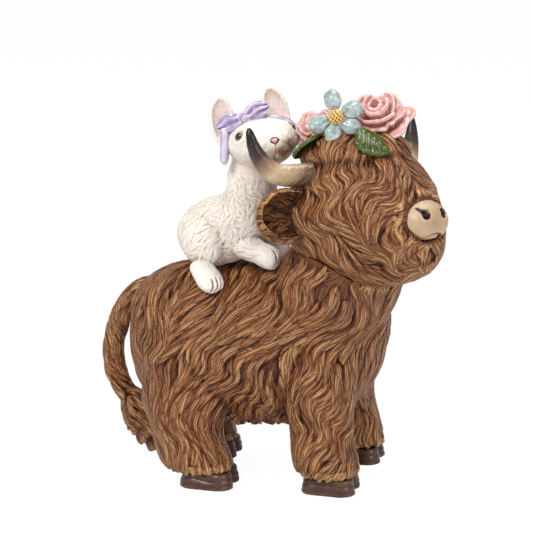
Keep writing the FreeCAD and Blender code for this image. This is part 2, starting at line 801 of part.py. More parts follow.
rabbitFace()
scutPlace = rabbitFrame.inner(
    -size("rabbitTailBack"), size("rabbitTailY"), -size("rabbitTailDrop"),
    turned(sizes["rabbitTailTurnAngle"], sizes["rabbitTailLiftAngle"]))
scut = ellipsoid(scutPlace, size("rabbitTailSize") * 1.1, size("rabbitTailSize"), size("rabbitTailSize") * 0.9)
keep(cut(scut, rabbitBodyForm, trunkForm), "rabbit_tail")


# the ribbon hugs the rabbit's head; its bow sits in front of the near ear
def ribbonBand():
    shell = loft(rabbitHeadFrame, scaled(
        rabbitHeadShares, size("rabbitHeadLength"), none, size("rabbitHeadHeight"),
        size("rabbitHeadWidth") + size("ribbonThickness") * 2,
        size("rabbitHeadHeight") + size("ribbonThickness") * 2), alongX)
    slab = doc.addObject("Part::Box", "RibbonSlab")
    bind(slab, "Length", size("ribbonWidth"))
    bind(slab, "Width", size("rabbitHeadWidth") * 2)
    bind(slab, "Height", size("rabbitHeadHeight"))
    lean = turned(sizes["ribbonTurnAngle"], sizes["ribbonLiftAngle"])
    middle = rabbitHeadFrame.inner(size("ribbonForward"), none, -size("ribbonDrop"), lean)
    middle.inner(none, -size("rabbitHeadWidth"), none).place(slab)
    return cut(common(shell, slab), rabbitHeadForm)


bandForm = ribbonBand()
keep(bandForm, "ribbon_band")
knotFrame = rabbitHeadFrame.inner(size("bowKnotForward"), -size("bowKnotSide"), size("bowKnotUp"))
knotForm = ellipsoid(knotFrame, size("bowKnotSize"), size("bowKnotSize"), size("bowKnotSize"))
for sideName in sides:
    name = "bowLoop" + sideName.title()
    lean = turned(sizes[name + "TurnAngle"], sizes[name + "LiftAngle"])
    form = loft(knotFrame.inner(none, none, none, lean), scaled(
        bowLoopShares, size("bowLoopLength"), none, size("bowLoopWidth"),
        size("bowLoopThickness"), size("bowLoopWidth")), alongX)
    keep(cut(form, knotForm, rabbitHeadForm, bandForm), "bow_loop_" + sideName)
keep(cut(knotForm, rabbitHeadForm, bandForm), "bow_knot")
bowTailFrame = knotFrame.inner(
    -size("bowTailBack"), -size("bowTailSide"), -size("bowTailDrop"),
    turned(sizes["bowTailTurnAngle"], -sizes["bowTailDipAngle"]))
bowTail = loft(bowTailFrame, scaled(
    rabbitFootShares, size("bowTailLength"), none, none,
    size("bowTailWidth"), size("bowTailThickness")), alongX)
keep(cut(bowTail, rabbitHeadForm, bandForm), "bow_tail")


# how far each ring of a rose stands out, how thick it is and how wide, as shares of its radius
roseShares = (
    (0, 1.1, 1.9),
    (0.4, 0.8, 1.35),
    (0.62, 0.7, 0.8),
)
# the flowers; the petals' angles go round from straight up
bluePetalAngles = (98, 23, -36, -102, -161)


def blueFlower(place):
    # five petals round a domed centre, each tucked behind the one before it
    middle = place.inner(size("bluePetalThickness") * 0.5, none, none)
    centre = keep(
        ellipsoid(middle, size("flowerCentreSize"), size("flowerCentreSize"), size("flowerCentreSize")),
        "blue_flower_centre")
    lean = turned(sizes["bluePetalTurnAngle"], sizes["bluePetalLiftAngle"])
    petals = []
    for angle in bluePetalAngles:
        root = place.inner(none, none, none, turned(0, 0, angle))
        petal = root.inner(none, size("blueFlowerRadius"), none, lean)
        petals.append(ellipsoid(
            petal, size("bluePetalThickness"), size("bluePetalLength"), size("bluePetalWidth")))
    for number, petal in enumerate(petals, 1):
        form = cut(petal, centre, forelockForm)
        if number > 1:
            form = cut(form, petals[number - 2])
        keep(form, f"blue_petal_{number}")


def rose(label, place, radius):
    # a low cushion of outer petals, a ring of inner ones and a round bud on top
    rings = []
    for upShare, thickShare, acrossShare in roseShares:
        level = place.inner(radius * upShare, none, none)
        rings.append(ellipsoid(level, radius * thickShare, radius * acrossShare, radius * acrossShare))
    return keep(cut(join(*rings), forelockForm, headForm), label)


def leaf(place):
    # two arcs that meet at the tips
    body = doc.addObject("PartDesign::Body", "Leaf")
    sketch = body.newObject("Sketcher::SketchObject", "LeafOutline")
    sketch.AttachmentSupport = [(originPlane(body, "XY_Plane"), "")]
    sketch.MapMode = "FlatFace"
    tips = (Vector(0, 0, 0), Vector(sizes["leafLength"], 0, 0))
    bulge = sizes["leafWidth"] * 0.5
    for side in (1, -1):
        middle = Vector(sizes["leafLength"] * 0.5, bulge * side, 0)
        sketch.addGeometry(Part.Arc(tips[0], middle, tips[1]), False)
    sketch.addConstraint(Sketcher.Constraint("Coincident", 0, 1, 1, 2))
    sketch.addConstraint(Sketcher.Constraint("Coincident", 0, 2, 1, 1))
    blade = body.newObject("PartDesign::Pad", "Blade")
    blade.Profile = sketch
    bind(blade, "Length", size("leafThickness"))
    body.Tip = blade
    return place.place(body)


crownUp = size("forelockUp") + size("forelockHeight") * 0.5
blueFlower(headFrame.inner(
    size("blueFlowerForward"), -size("blueFlowerSide"), crownUp + size("blueFlowerUp"),
    turned(sizes["blueFlowerTurnAngle"], sizes["blueFlowerLiftAngle"])))
rose("rose_large", headFrame.inner(
    size("roseForward"), size("roseSide"), crownUp + size("roseUp"),
    turned(sizes["roseTurnAngle"], sizes["roseLiftAngle"])), size("roseRadius"))
rose("rose_small", headFrame.inner(
    -size("smallRoseBack"), -size("smallRoseSide"), crownUp + size("smallRoseUp"),
    turned(sizes["smallRoseTurnAngle"], sizes["smallRoseLiftAngle"])), size("smallRoseRadius"))
leafRight = leaf(headFrame.inner(
    size("leafRightForward"), -size("leafRightSide"), crownUp + size("leafRightUp"),
    turned(sizes["leafRightTurnAngle"], sizes["leafRightLiftAngle"], sizes["leafRightRollAngle"])))
leafLeft = leaf(headFrame.inner(
    -size("leafLeftBack"), -size("leafLeftSide"), crownUp + size("leafLeftUp"),
    turned(sizes["leafLeftTurnAngle"], sizes["leafLeftLiftAngle"])))
keep(cut(leafRight, forelockForm), "leaf_right")
keep(cut(leafLeft, forelockForm), "leaf_left")

doc.recompute()
for item in doc.Objects:
    if "Invalid" in item.State or "Error" in item.State:
        raise RuntimeError(f"{item.Label} ({item.Name}) did not build: {item.State}")
for piece in pieces:
    shape = piece.Shape
    if shape.isNull() or not shape.isValid():
        raise RuntimeError(f"{piece.Label} has no sound shape")
    print(piece.Label, len(shape.Solids), "solids", round(shape.Volume), "mm3")
for piece in pieces:
    piece.Shape.exportStep(f"parts/{piece.Label}.step")
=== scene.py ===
# Highland cow figurine with a rabbit on its back and flowers between its horns.
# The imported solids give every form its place. The hair, the fur and the petals are carved here.
# Points are worked on in millimetres and turned into metres when a mesh is made.
import math
import time

import bpy
import numpy as np
from mathutils import Matrix, Vector
from mathutils.kdtree import KDTree


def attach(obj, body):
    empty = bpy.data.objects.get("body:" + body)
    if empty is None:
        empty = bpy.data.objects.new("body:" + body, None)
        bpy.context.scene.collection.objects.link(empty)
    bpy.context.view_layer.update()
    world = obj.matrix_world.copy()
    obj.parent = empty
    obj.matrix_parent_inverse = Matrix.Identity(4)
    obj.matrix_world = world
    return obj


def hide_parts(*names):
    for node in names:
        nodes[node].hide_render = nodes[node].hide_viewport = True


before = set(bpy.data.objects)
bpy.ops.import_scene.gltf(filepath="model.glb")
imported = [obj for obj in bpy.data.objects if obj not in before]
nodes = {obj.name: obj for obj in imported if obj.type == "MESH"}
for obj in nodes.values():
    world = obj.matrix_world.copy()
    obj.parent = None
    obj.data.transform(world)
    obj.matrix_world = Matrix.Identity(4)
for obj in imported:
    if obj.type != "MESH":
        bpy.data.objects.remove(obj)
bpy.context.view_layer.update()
scene = bpy.context.scene
started = time.time()


def say(text):
    print(f"{time.time() - started:6.1f} s  {text}")


# where the forms stand: a point, then degrees of turn to the left, front lifted and left side lifted over
places = {
    "cow": ((-4.5, 1.8, 0), (0, 0, 0)),
    "head": ((41, -11, 111.7), (-35, 7, -2.5)),
    "rabbit": ((-20.5, -5, 100), (0, 0, 0)),
    "rabbitHead": ((0, -8, 138.6), (-61, 14, 7)),
}


def turned(turn, lift, roll):
    heading = Matrix.Rotation(math.radians(turn), 4, "Z")
    heading = heading @ Matrix.Rotation(math.radians(-lift), 4, "Y")
    return heading @ Matrix.Rotation(math.radians(roll), 4, "X")


def seated(base, place, side=1):
    # a place on a form, or with side -1 the same place on its other side
    (x, y, z), (turn, lift, roll) = place
    return base @ (Matrix.Translation((x, y * side, z)) @ turned(turn * side, lift, roll))


cowPlace = seated(Matrix.Identity(4), places["cow"])
cowMiddle = places["cow"][0][1]
headPlace, rabbitPlace, rabbitHeadPlace = (
    seated(cowPlace, places[name]) for name in ("head", "rabbit", "rabbitHead"))
sides = {"right": -1, "left": 1}


def moved(points, place):
    matrix = np.array(place)
    return points @ matrix[:3, :3].T + matrix[:3, 3]


def local(points, place):
    return moved(points, place.inverted())


def unit(vectors):
    return vectors / np.maximum(np.linalg.norm(vectors, axis=-1, keepdims=True), 1e-9)


def smoothStep(low, high, values):
    share = np.clip((values - low) / (high - low), 0, 1)
    return share * share * (3 - 2 * share)


def hill(values, width, middle=0.0):
    return np.exp(-((values - middle) / width) ** 2)


def stacked(x, y, z):
    # one vector per point, where a single number counts for all of them
    return np.stack(np.broadcast_arrays(x, y, z), 1)


# meshes
def fetched(items, key, width, kind=float):
    flat = np.empty(len(items) * width, kind)
    items.foreach_get(key, flat)
    return flat.reshape(-1, width)


def nodeArrays(names):
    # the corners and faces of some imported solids, in millimetres
    corners = []
    faces = []
    count = 0
    for name in names:
        mesh = nodes[name].data
        corners.append(fetched(mesh.vertices, "co", 3) * 1000)
        mesh.calc_loop_triangles()
        faces.append(fetched(mesh.loop_triangles, "vertices", 3, np.int32) + count)
        count += len(mesh.vertices)
    return np.concatenate(corners), np.concatenate(faces)


def makeMesh(name, points, faces):
    mesh = bpy.data.meshes.new(name)
    mesh.from_pydata(points * 0.001, [], faces)
    mesh.validate()
    mesh.shade_smooth()
    return mesh


def addItem(name, data):
    item = bpy.data.objects.new(name, data)
    scene.collection.objects.link(item)
    return item


def remeshed(points, faces, voxel):
    # one closed skin round all the forms, as quads of about one voxel
    mesh = makeMesh("rough", points, faces)
    item = addItem("rough", mesh)
    modifier = item.modifiers.new("voxels", "REMESH")
    modifier.mode = "VOXEL"
    modifier.voxel_size = voxel * 0.001
    graph = bpy.context.evaluated_depsgraph_get()
    fine = item.evaluated_get(graph).to_mesh()
    corners = fetched(fine.vertices, "co", 3) * 1000
    faces = fetched(fine.loops, "vertex_index", 1, np.int32).reshape(-1, 4)
    item.evaluated_get(graph).to_mesh_clear()
    bpy.data.objects.remove(item)
    bpy.data.meshes.remove(mesh)
    return corners, faces


def edgesOf(faces):
    pairs = np.concatenate([np.stack([faces[:, side], faces[:, (side + 1) % faces.shape[1]]], 1)
                            for side in range(faces.shape[1])])
    return np.unique(np.sort(pairs, 1), axis=0)


def neighbourMean(values, edges, count):
    # each point's mean over its neighbours
    total = np.zeros((count, values.shape[1]))
    for axis in range(values.shape[1]):
        total[:, axis] += np.bincount(edges[:, 0], values[edges[:, 1], axis], count)
        total[:, axis] += np.bincount(edges[:, 1], values[edges[:, 0], axis], count)
    degree = np.bincount(edges.ravel(), minlength=count)
    return total / np.maximum(degree, 1)[:, None]


def smoothed(points, edges, rounds, share=0.5):
    for _ in range(rounds):
        points = points + (neighbourMean(points, edges, len(points)) - points) * share
    return points


def normalsOf(points, faces):
    first = points[faces[:, 2]] - points[faces[:, 0]]
    second = points[faces[:, -1]] - points[faces[:, 1]]
    flat = np.cross(first, second)
    total = np.zeros_like(points)
    for side in range(faces.shape[1]):
        for axis in range(3):
            total[:, axis] += np.bincount(faces[:, side], flat[:, axis], len(points))
    return unit(total)


class Skin:
    # a dense skin with its values per point

    def __init__(self, solids, points, faces, voxel, rounds):
        self.solids = solids
        self.points, self.faces = remeshed(points, faces, voxel)
        self.edges = edgesOf(self.faces)
        self.points = smoothed(self.points, self.edges, rounds)
        self.normals = normalsOf(self.points, self.faces)
        self.values = {}

    def displace(self, amount):
        self.points = self.points + self.normals * amount[:, None]

    def refresh(self):
        self.normals = normalsOf(self.points, self.faces)

    def relief(self, reach):
        # how far each point stands out of the mean round it
        mean = smoothed(self.points, self.edges, reach, 0.9)
        return ((self.points - mean) * normalsOf(mean, self.faces)).sum(1)

    def carve(self, reach, depth):
        self.values["carve"] = np.clip(0.5 + self.relief(reach) / depth, 0, 1)


def skinOf(solids, voxel, rounds):
    return Skin(solids, *nodeArrays(solids), voxel, rounds)


def addPiece(name, points, faces, values, material, replaced):
    mesh = makeMesh(name, points, faces)
    for key, amounts in values.items():
        attribute = mesh.attributes.new(key, "FLOAT", "POINT")
        attribute.data.foreach_set("value", np.asarray(amounts, np.float32))
    mesh.materials.append(material)
    item = addItem(name, mesh)
    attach(item, "root")
    if replaced:
        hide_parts(*replaced)


def addPart(skin, name, chosen, material, replaced):
    # the faces of a skin that are chosen, as a piece of their own
    faces = skin.faces[chosen]
    used, index = np.unique(faces, return_inverse=True)
    values = {key: amounts[used] for key, amounts in skin.values.items()}
    addPiece(name, skin.points[used], index.reshape(faces.shape), values, material, replaced)


def addSkin(skin, name, material):
    addPart(skin, name, slice(None), material, skin.solids)


# hair
def waves(seed, scale, count=9):
    # a smooth seeded field of numbers from about -1 to 1
    rng = np.random.default_rng(seed)
    directions = unit(rng.normal(size=(count, 3))) * (rng.uniform(0.6, 1.5, (count, 1)) * 2 * math.pi / scale)
    phases = rng.uniform(0, 2 * math.pi, count)

    def field(points):
        return np.sin(points @ directions.T + phases).sum(1) / math.sqrt(count) / 1.1

    return field


def tangent(vectors, normals):
    return unit(vectors - (vectors * normals).sum(1)[:, None] * normals)


def swung(vectors, normals, angles):
    # vectors turned about the normals
    sideways = np.cross(normals, vectors)
    return vectors * np.cos(angles)[:, None] + sideways * np.sin(angles)[:, None]


def scattered(points, spacing, rng):
    # about one point in each cell of that size
    order = rng.permutation(len(points))
    cells = np.floor(points[order] / spacing + rng.uniform(0, 1, 3)).astype(np.int64)
    keys = (cells[:, 0] * 73856093) ^ (cells[:, 1] * 19349663) ^ (cells[:, 2] * 83492791)
    _, first = np.unique(keys, return_index=True)
    return order[first]


# the form of one stroke of the carver's tool, in shares of its length, width and height
stroke = {
    "blunt": 0.14,  # how wide the root is
    "taper": 0.6,  # how early it narrows
    "edge": 0.25,  # height at its sides
    "fade": 0.4,  # how early it sinks at both ends
    "thickness": 3,  # skin further away, in millimetres, is another side of the form
    "facing": 0.2,  # and so is skin that faces another way
    "cell": 2.5,  # millimetres between the cells that the points are kept in
}
cellKey = np.array([1000003, 1009, 1])  # makes one number of a cell's three


class Carver:
    # lays tapered locks along a flow over a skin

    def __init__(self, skin, flow):
        self.skin = skin
        self.flow = flow
        step = max(1, len(skin.points) // 60000)
        self.some = np.arange(0, len(skin.points), step)
        self.tree = KDTree(len(self.some))
        for number, index in enumerate(self.some):
            self.tree.insert(skin.points[index], number)
        self.tree.balance()
        keys = self.cellKeys(skin.points)
        self.order = np.argsort(keys, kind="stable")
        ordered = keys[self.order]
        found, begins = np.unique(ordered, return_index=True)
        ends = np.append(begins[1:], len(ordered))
        self.ranges = {int(key): (begin, end) for key, begin, end in zip(found, begins, ends)}
        around = np.array([(x, y, z) for x in (-1, 0, 1) for y in (-1, 0, 1) for z in (-1, 0, 1)])
        self.around = around @ cellKey

    def cellKeys(self, points):
        return np.floor(points / stroke["cell"]).astype(np.int64) @ cellKey

    def near(self, path):
        keys = np.unique((np.unique(self.cellKeys(path))[:, None] + self.around[None, :]).ravel())
        found = [self.ranges[key] for key in keys.tolist() if key in self.ranges]
        if not found:
            return np.zeros(0, np.int64)
        return np.concatenate([self.order[begin:end] for begin, end in found])

    def paths(self, starts, lengths, step, angles):
        # every path is followed along the skin at once
        skin = self.skin
        places = skin.points[starts]
        normals = skin.normals[starts]
        rows = [(places, normals)]
        for _ in range(int(max(lengths) / step)):
            headings = self.flow(places, normals, angles)
            places = places + headings * step
            nearest = self.some[[self.tree.find(place)[1] for place in places]]
            offset = places - skin.points[nearest]
            normals = skin.normals[nearest]
            places = places - (offset * normals).sum(1)[:, None] * normals
            rows.append((places, normals))
        return np.stack([row[0] for row in rows], 1), np.stack([row[1] for row in rows], 1)

    def lay(self, starts, lengths, widths, heights, levels, step, rng, turnSpread):
        skin = self.skin
        count = len(skin.points)
        height, across, tone = np.zeros((3, count))
        angles = rng.normal(0, math.radians(turnSpread), len(starts))
        tones = rng.uniform(0, 1, len(starts))
        places, normals = self.paths(starts, lengths, step, angles)
        for number in range(len(starts)):
            size = max(4, int(lengths[number] / step))
            path = places[number, :size]
            facing = normals[number, :size]
            ahead = unit(np.gradient(path, axis=0))
            side = unit(np.cross(facing, ahead))
            near = self.near(path)
            if len(near) == 0:
                continue
            offset = skin.points[near][:, None, :] - path[None, :, :]
            closest = (offset * offset).sum(2).argmin(1)
            offset = offset[np.arange(len(near)), closest]
            over = (offset * ahead[closest]).sum(1) / step
            along = (closest + np.clip(over, -0.5, 0.5)) / (size - 1)
            away = np.abs((offset * facing[closest]).sum(1))
            widest = np.clip(along * (1 - stroke["blunt"]) + stroke["blunt"], 0, 1)
            girth = widths[number] * np.clip(np.sin(widest * math.pi) ** stroke["taper"], 0.02, 1)
            reach = (offset * side[closest]).sum(1) / girth
            alike = (skin.normals[near] * facing[closest]).sum(1)
            inside = (np.abs(reach) < 1) & (away < stroke["thickness"]) & (alike > stroke["facing"])
            inside &= (np.abs(over) < 1.5) & (along >= 0) & (along <= 1)
            if not inside.any():
                continue
            reach, along, near = reach[inside], along[inside], near[inside]
            bulge = np.sqrt(1 - reach ** 2)
            fade = np.clip(np.sin(along * math.pi), 0, 1) ** stroke["fade"]
            rise = heights[number] * (stroke["edge"] + (1 - stroke["edge"]) * bulge) * np.clip(fade, 0.1, 1)
            rise = rise + levels[number] * (0.6 + 0.4 * along)
            taller = rise > height[near]
            near = near[taller]
            height[near] = rise[taller]
            across[near] = reach[taller] + number * 0.37
            tone[near] = tones[number]
        return height, across, tone


def carveHair(skin, flow, settings, seed):
    # big locks first, then strands on top of them
    rng = np.random.default_rng(seed)
    carver = Carver(skin, flow)
    total = np.zeros(len(skin.points))
    values = {}
    for key in ("lock", "strand"):
        spec = settings[key]
        starts = scattered(skin.points[carver.some], spec["spacing"], rng)
        starts = carver.some[starts[rng.permutation(len(starts))]]
        lengths = rng.uniform(*spec["length"], len(starts))
        widths = rng.uniform(*spec["width"], len(starts))
        heights = widths / spec["width"][1] * spec["height"]
        levels = rng.uniform(0, spec["layer"], len(starts))
        height, across, tone = carver.lay(
            starts, lengths, widths, heights, levels, spec["step"], rng, spec["turn"])
        total += height
        values[key] = (height, across, tone)
        say(f"{len(starts)} {key} strokes")
    return total, values


def dressHair(skin, flow, settings, seed, mask=None):
    total, values = carveHair(skin, flow, settings, seed)
    top = settings["lock"]["height"] + settings["lock"]["layer"]
    raised = np.maximum(total - settings["sink"], -0.45 * settings["sink"])
    if mask is not None:
        raised = raised * mask
    skin.displace(raised)
    skin.points = smoothed(skin.points, skin.edges, 1, 0.25)
    skin.refresh()
    skin.values["carve"] = np.clip(0.5 + skin.relief(4) / 0.85 + skin.relief(16) / 1.6, 0, 1)
    skin.values["deep"] = np.clip(values["lock"][0] / top, 0.3, 1)
    skin.values["strand"] = values["strand"][1]
    skin.values["tone"] = 0.6 * values["lock"][2] + 0.4 * values["strand"][2]
    return values


# materials
class Shader:
    # a material's nodes, added one by one

    def __init__(self, name):
        self.material = bpy.data.materials.new(name)
        self.material.use_nodes = True
        self.tree = self.material.node_tree
        self.surface = self.tree.nodes["Principled BSDF"]

    def node(self, kind, inputs=None, **settings):
        item = self.tree.nodes.new(kind)
        for key, value in settings.items():
            setattr(item, key, value)
        for key, value in (inputs or {}).items():
            self.feed(item.inputs[key], value)
        return item

    def feed(self, socket, value):
        if isinstance(value, bpy.types.NodeSocket):
            self.tree.links.new(value, socket)
        else:
            socket.default_value = value

    def set(self, **amounts):
        names = {"colour": "Base Color", "roughness": "Roughness", "coat": "Coat Weight",
                 "coatRoughness": "Coat Roughness", "normal": "Normal", "specular": "Specular IOR Level",
                 "subsurface": "Subsurface Weight", "subsurfaceScale": "Subsurface Scale"}
        for key, value in amounts.items():
            self.feed(self.surface.inputs[names[key]], value)

    def value(self, key):
        return self.node("ShaderNodeAttribute", attribute_name=key).outputs["Fac"]

    def math(self, operation, first, second=0.0, clamp=False):
        item = self.node("ShaderNodeMath", {0: first, 1: second}, operation=operation, use_clamp=clamp)
        return item.outputs[0]

    def noise(self, scale, detail=3.0, distortion=0.0):
        place = self.node("ShaderNodeTexCoord").outputs["Object"]
        inputs = {"Vector": place, "Scale": scale, "Detail": detail, "Distortion": distortion}
        return self.node("ShaderNodeTexNoise", inputs).outputs["Fac"]

    def level(self, carve, scale, share, middle=0.0, detail=3.0, distortion=0.0):
        # the carving and a mottle, from 0 in the hollows to 1 on the ridges
        mottle = self.math("SUBTRACT", self.noise(scale, detail, distortion), middle)
        return self.math("ADD", self.math("MULTIPLY", self.value("carve"), carve),
                         self.math("MULTIPLY", mottle, share), clamp=True)

    def mix(self, share, first, second, mode="MIX"):
        item = self.node("ShaderNodeMix", data_type="RGBA", blend_type=mode)
        for number, value in ((0, share), (6, first), (7, second)):
            self.feed(item.inputs[number], value)
        return item.outputs[2]

    def ramp(self, value, stops):
        item = self.node("ShaderNodeValToRGB", {0: value})
        bands = item.color_ramp.elements
        while len(bands) < len(stops):
            bands.new(0.5)
        for band, (place, colour) in zip(bands, stops):
            band.position = place
            band.color = tint(*colour) if len(colour) == 3 else colour
        return item.outputs[0]

    def bump(self, height, distance, strength=1.0, normal=None):
        inputs = {"Height": height, "Distance": distance, "Strength": strength}
        if normal is not None:
            inputs["Normal"] = normal
        return self.node("ShaderNodeBump", inputs).outputs[0]

    def finish(self, colour, look, normal=None):
        scale, detail, depth, strength = look["grain"]
        grain = self.bump(self.noise(scale, detail), depth, strength, normal)
        self.set(colour=colour, normal=grain, **look["finish"])
        return self.material


def tint(red, green, blue):
    # a colour as a painter names it, 0 to 255, turned to linear light
    linear = []
    for part in (red, green, blue):
        share = part / 255
        linear.append(share / 12.92 if share <= 0.04045 else ((share + 0.055) / 1.055) ** 2.4)
    return (*linear, 1.0)


def paint(name, look):
    # a ramp over the skin's carve value, on most skins painted shade in the hollows and a painted highlight
    # on the ridges, soft patches over it, and covers where a value of the skin says so
    shader = Shader(name)
    level = shader.level(**look["mottle"])
    colour = shader.ramp(level, look["colours"])
    if "patches" in look:
        noise, stops = look["patches"]
        colour = shader.mix(1.0, colour, shader.ramp(shader.noise(*noise), stops), "MULTIPLY")
    for key, cover in look.get("covers", {}).items():
        if "stops" in cover:
            under = shader.noise(*cover["noise"]) if "noise" in cover else level
            cover = shader.ramp(under, cover["stops"])
        else:
            cover = tint(*cover["colour"])
        colour = shader.mix(shader.value(key), colour, cover)
    return shader.finish(colour, look)


say("tools are ready")

# the cow's coat: brown paint, a dark wash with painted shade in the grooves and gold brushed over the ridges
# with a painted highlight
hair = {
    "lock": {"spacing": 4.4, "length": (18, 38), "width": (2.0, 3.9), "height": 1.5, "layer": 1.0,
             "step": 0.8, "turn": 7},
    "strand": {"spacing": 2.2, "length": (9, 22), "width": (0.65, 1.2), "height": 0.5, "layer": 0.3,
               "step": 0.7, "turn": 8},
    "sink": 1.8,
    # the colour of painted shade, laid where a skin's shade value says so
    "groove": (20, 6, 2),
    "colours": ((0.24, (20, 6, 2)), (0.42, (82, 40, 20)), (0.58, (142, 89, 54)), (0.86, (224, 180, 130))),
    "mottle": ((0.3, (0.86, 0.83, 0.8, 1)), (0.7, (1.08, 1.05, 1.0, 1))),
    "lockTones": ((0.0, (0.88, 0.86, 0.85, 1)), (1.0, (1.08, 1.06, 1.03, 1))),
    "ridgesAcross": 2.2,
    "ridges": (0.0003, 0.8),  # their depth in metres and strength
    "shares": (0.62, 0.16, 0.18, 0.1),  # of the carving, the layer, the ridges and a mottle in the colour
    "grain": (1500.0, 2.0, 0.00008, 0.5),
    "finish": {"roughness": 0.37, "specular": 0.3},
}


def hairMaterial():
    shader = Shader("hairPaint")
    turns = shader.math("MULTIPLY", shader.value("strand"), hair["ridgesAcross"] * math.pi)
    wave = shader.math("ADD", shader.math("MULTIPLY", shader.math("SINE", turns), 0.5), 0.5)
    # the carving, the lock layer and the ridges across the strands set the colour: wash and gold paint
    # together with painted shade in the grooves and on lower locks, and a painted highlight on the ridges
    parts = (shader.value("carve"), shader.value("deep"), wave, shader.noise(260.0))
    level = 0.0
    for value, share in zip(parts, hair["shares"]):
        level = shader.math("ADD", shader.math("MULTIPLY", value, share), level)
    colour = shader.ramp(level, hair["colours"])
    for value, key in ((shader.noise(55.0, 2.0), "mottle"), (shader.value("tone"), "lockTones")):
        colour = shader.mix(1.0, colour, shader.ramp(value, hair[key]), "MULTIPLY")
    # painted shade where the skin's shade value says so
    colour = shader.mix(shader.value("shade"), colour, tint(*hair["groove"]))
    return shader.finish(colour, hair, shader.bump(wave, *hair["ridges"]))


# how it lies on the body, in shares of straight down
lie = {
    "back": 0.5,  # swept back on the flanks
    "neck": 0.75,
    "rump": 0.25,
    "hindleg": 0.28,
    "foreleg": 0.32,
    "aside": 0.55,
    "drift": 0.22,
    "swing": 31,  # degrees to each side
    "waveLength": 29,
}
legs = {  # where each one stands
    "foreleg_right": (27, -18),
    "foreleg_left": (29, 27),
    "hindleg_right": (-23, -21),
    "hindleg_left": (-31, 22),
}
# where the body's hair ends, in millimetres
hem = {
    "rumpIn": 2.4,  # how far the rump is drawn in behind the tail
    "tips": 0.6,  # how much of a lock's height hangs over the hooves
    "ragged": 0.7,
    "lift": 1.4,
    "lowest": 4.2,
    "legTop": 48,
    "belly": 2.2,  # how far the locks hang under the belly
}
bodySway = waves(3, 34)
bodyDrift = waves(5, 60)


def bodyFlow(points, normals, angles):
    # down from the spine, swept back on the flanks and round the haunches, in slow waves
    x = points[:, 0]
    y = points[:, 1] - cowMiddle
    z = points[:, 2]
    lean = -lie["back"] + lie["neck"] * smoothStep(28, 44, x) + lie["rump"] * smoothStep(-42, -56, x)
    onLegs = smoothStep(52, 34, z)
    hind = smoothStep(-8, -22, x)
    lean = lean * (1 - onLegs) + onLegs * (hind * lie["hindleg"] - (1 - hind) * lie["foreleg"])
    lean = lean + lie["drift"] * bodyDrift(points)
    aside = np.sign(y) * lie["aside"] * smoothStep(0, 6, np.abs(y))
    heading = tangent(stacked(lean, aside, -1.0), normals)
    phase = z * 2 * math.pi / lie["waveLength"] + 1.9 * bodySway(points)
    swing = math.radians(lie["swing"]) * np.sin(phase)
    return swung(heading, normals, swing * np.clip(y / 6, -1, 1) + angles)


def bodyCoat(material):
    skin = skinOf(["trunk", "mane", *legs], voxel=0.46, rounds=22)
    say(f"body skin has {len(skin.points)} points")
    x, _, z = skin.points.T
    low = smoothStep(11, 7, z)
    rump = smoothStep(-34, -48, x) * smoothStep(74, 60, z) * smoothStep(32, 46, z)
    skin.points[:, 0] += hem["rumpIn"] * rump
    skin.refresh()
    values = dressHair(skin, bodyFlow, hair, 11)
    # ragged tips hang over the hooves and under the belly
    tips = values["lock"][0] + values["strand"][0] * 1.5
    ragged = np.clip(waves(15, 2.6)(skin.points), -1, 1)
    skin.displace(low * smoothStep(-0.7, 0.0, skin.normals[:, 2]) * (0.5 + 0.5 * ragged))
    z = skin.points[:, 2] - low * ((tips - 1.5) * hem["tips"] + ragged * hem["ragged"])
    z = np.maximum(z + hem["lift"] * low, hem["lowest"])
    belly = smoothStep(-0.35, -0.85, skin.normals[:, 2]) * smoothStep(33, 28, z) * smoothStep(15, 19, z)
    drip = np.clip(waves(16, 4.4)(skin.points * np.array([1, 0.6, 0])) + 0.25, 0, 1.2)
    skin.points[:, 2] = z - belly * drip * hem["belly"]
    centres = skin.points[skin.faces].mean(1)
    away = np.stack([np.hypot(centres[:, 0] - x, centres[:, 1] - y) for x, y in legs.values()], 1)
    inLeg = (centres[:, 2] < hem["legTop"]) & (away.min(1) < 20)
    for number, name in enumerate(legs):
        addPart(skin, name + "_hair", inLeg & (away.argmin(1) == number), material, [name])
    right = centres[:, 1] < cowMiddle
    addPart(skin, "trunk_hair_right", ~inLeg & right, material, ["trunk", "mane"])
    addPart(skin, "trunk_hair_left", ~inLeg & ~right, material, [])


headSway = waves(21, 30)
headLie = {
    "swing": 42,  # degrees to each side
    "waveLength": 23,
    "seat": (8.8, 10.8, 12.0),  # radius of the muzzle's seat and of the first hair round it
    "seatUp": -2.4,
    "chin": (29, 0, -14.5),
    "chinReach": (6, 8, 4),
    "chinAhead": 3.2,
    "collar": 0.9,  # the roll of hair round the muzzle
}


def seatGirth(inside):
    # distance from the axis of the muzzle
    return np.hypot(inside[:, 1], (inside[:, 2] - headLie["seatUp"]) * 1.15)


def headFlow(points, normals, angles):
    # from the crown over the brow and the cheeks, away from the muzzle and under the jaw
    inside = local(points, headPlace)
    x, y, z = inside.T
    rotation = np.array(headPlace)[:3, :3]
    front = smoothStep(12, 30, x)
    low = smoothStep(-2, -20, z)
    ahead = 0.35 + 0.5 * low - 0.9 * front * smoothStep(-4, 8, z)
    aside = np.sign(y) * (0.25 + 0.9 * front * (1 - low)) * smoothStep(0, 5, np.abs(y))
    heading = stacked(ahead, aside, -1.0)
    crown = smoothStep(20, 26, z)[:, None]
    heading = heading * (1 - crown) + crown * unit(stacked(x + 6, y, 0.0))
    heading = tangent(heading @ rotation.T, normals)
    phase = z * 2 * math.pi / headLie["waveLength"] + 2.2 * headSway(points)
    swing = math.radians(headLie["swing"]) * np.sin(phase)
    return swung(heading, normals, swing * np.clip(y / 6, -1, 1) + angles)


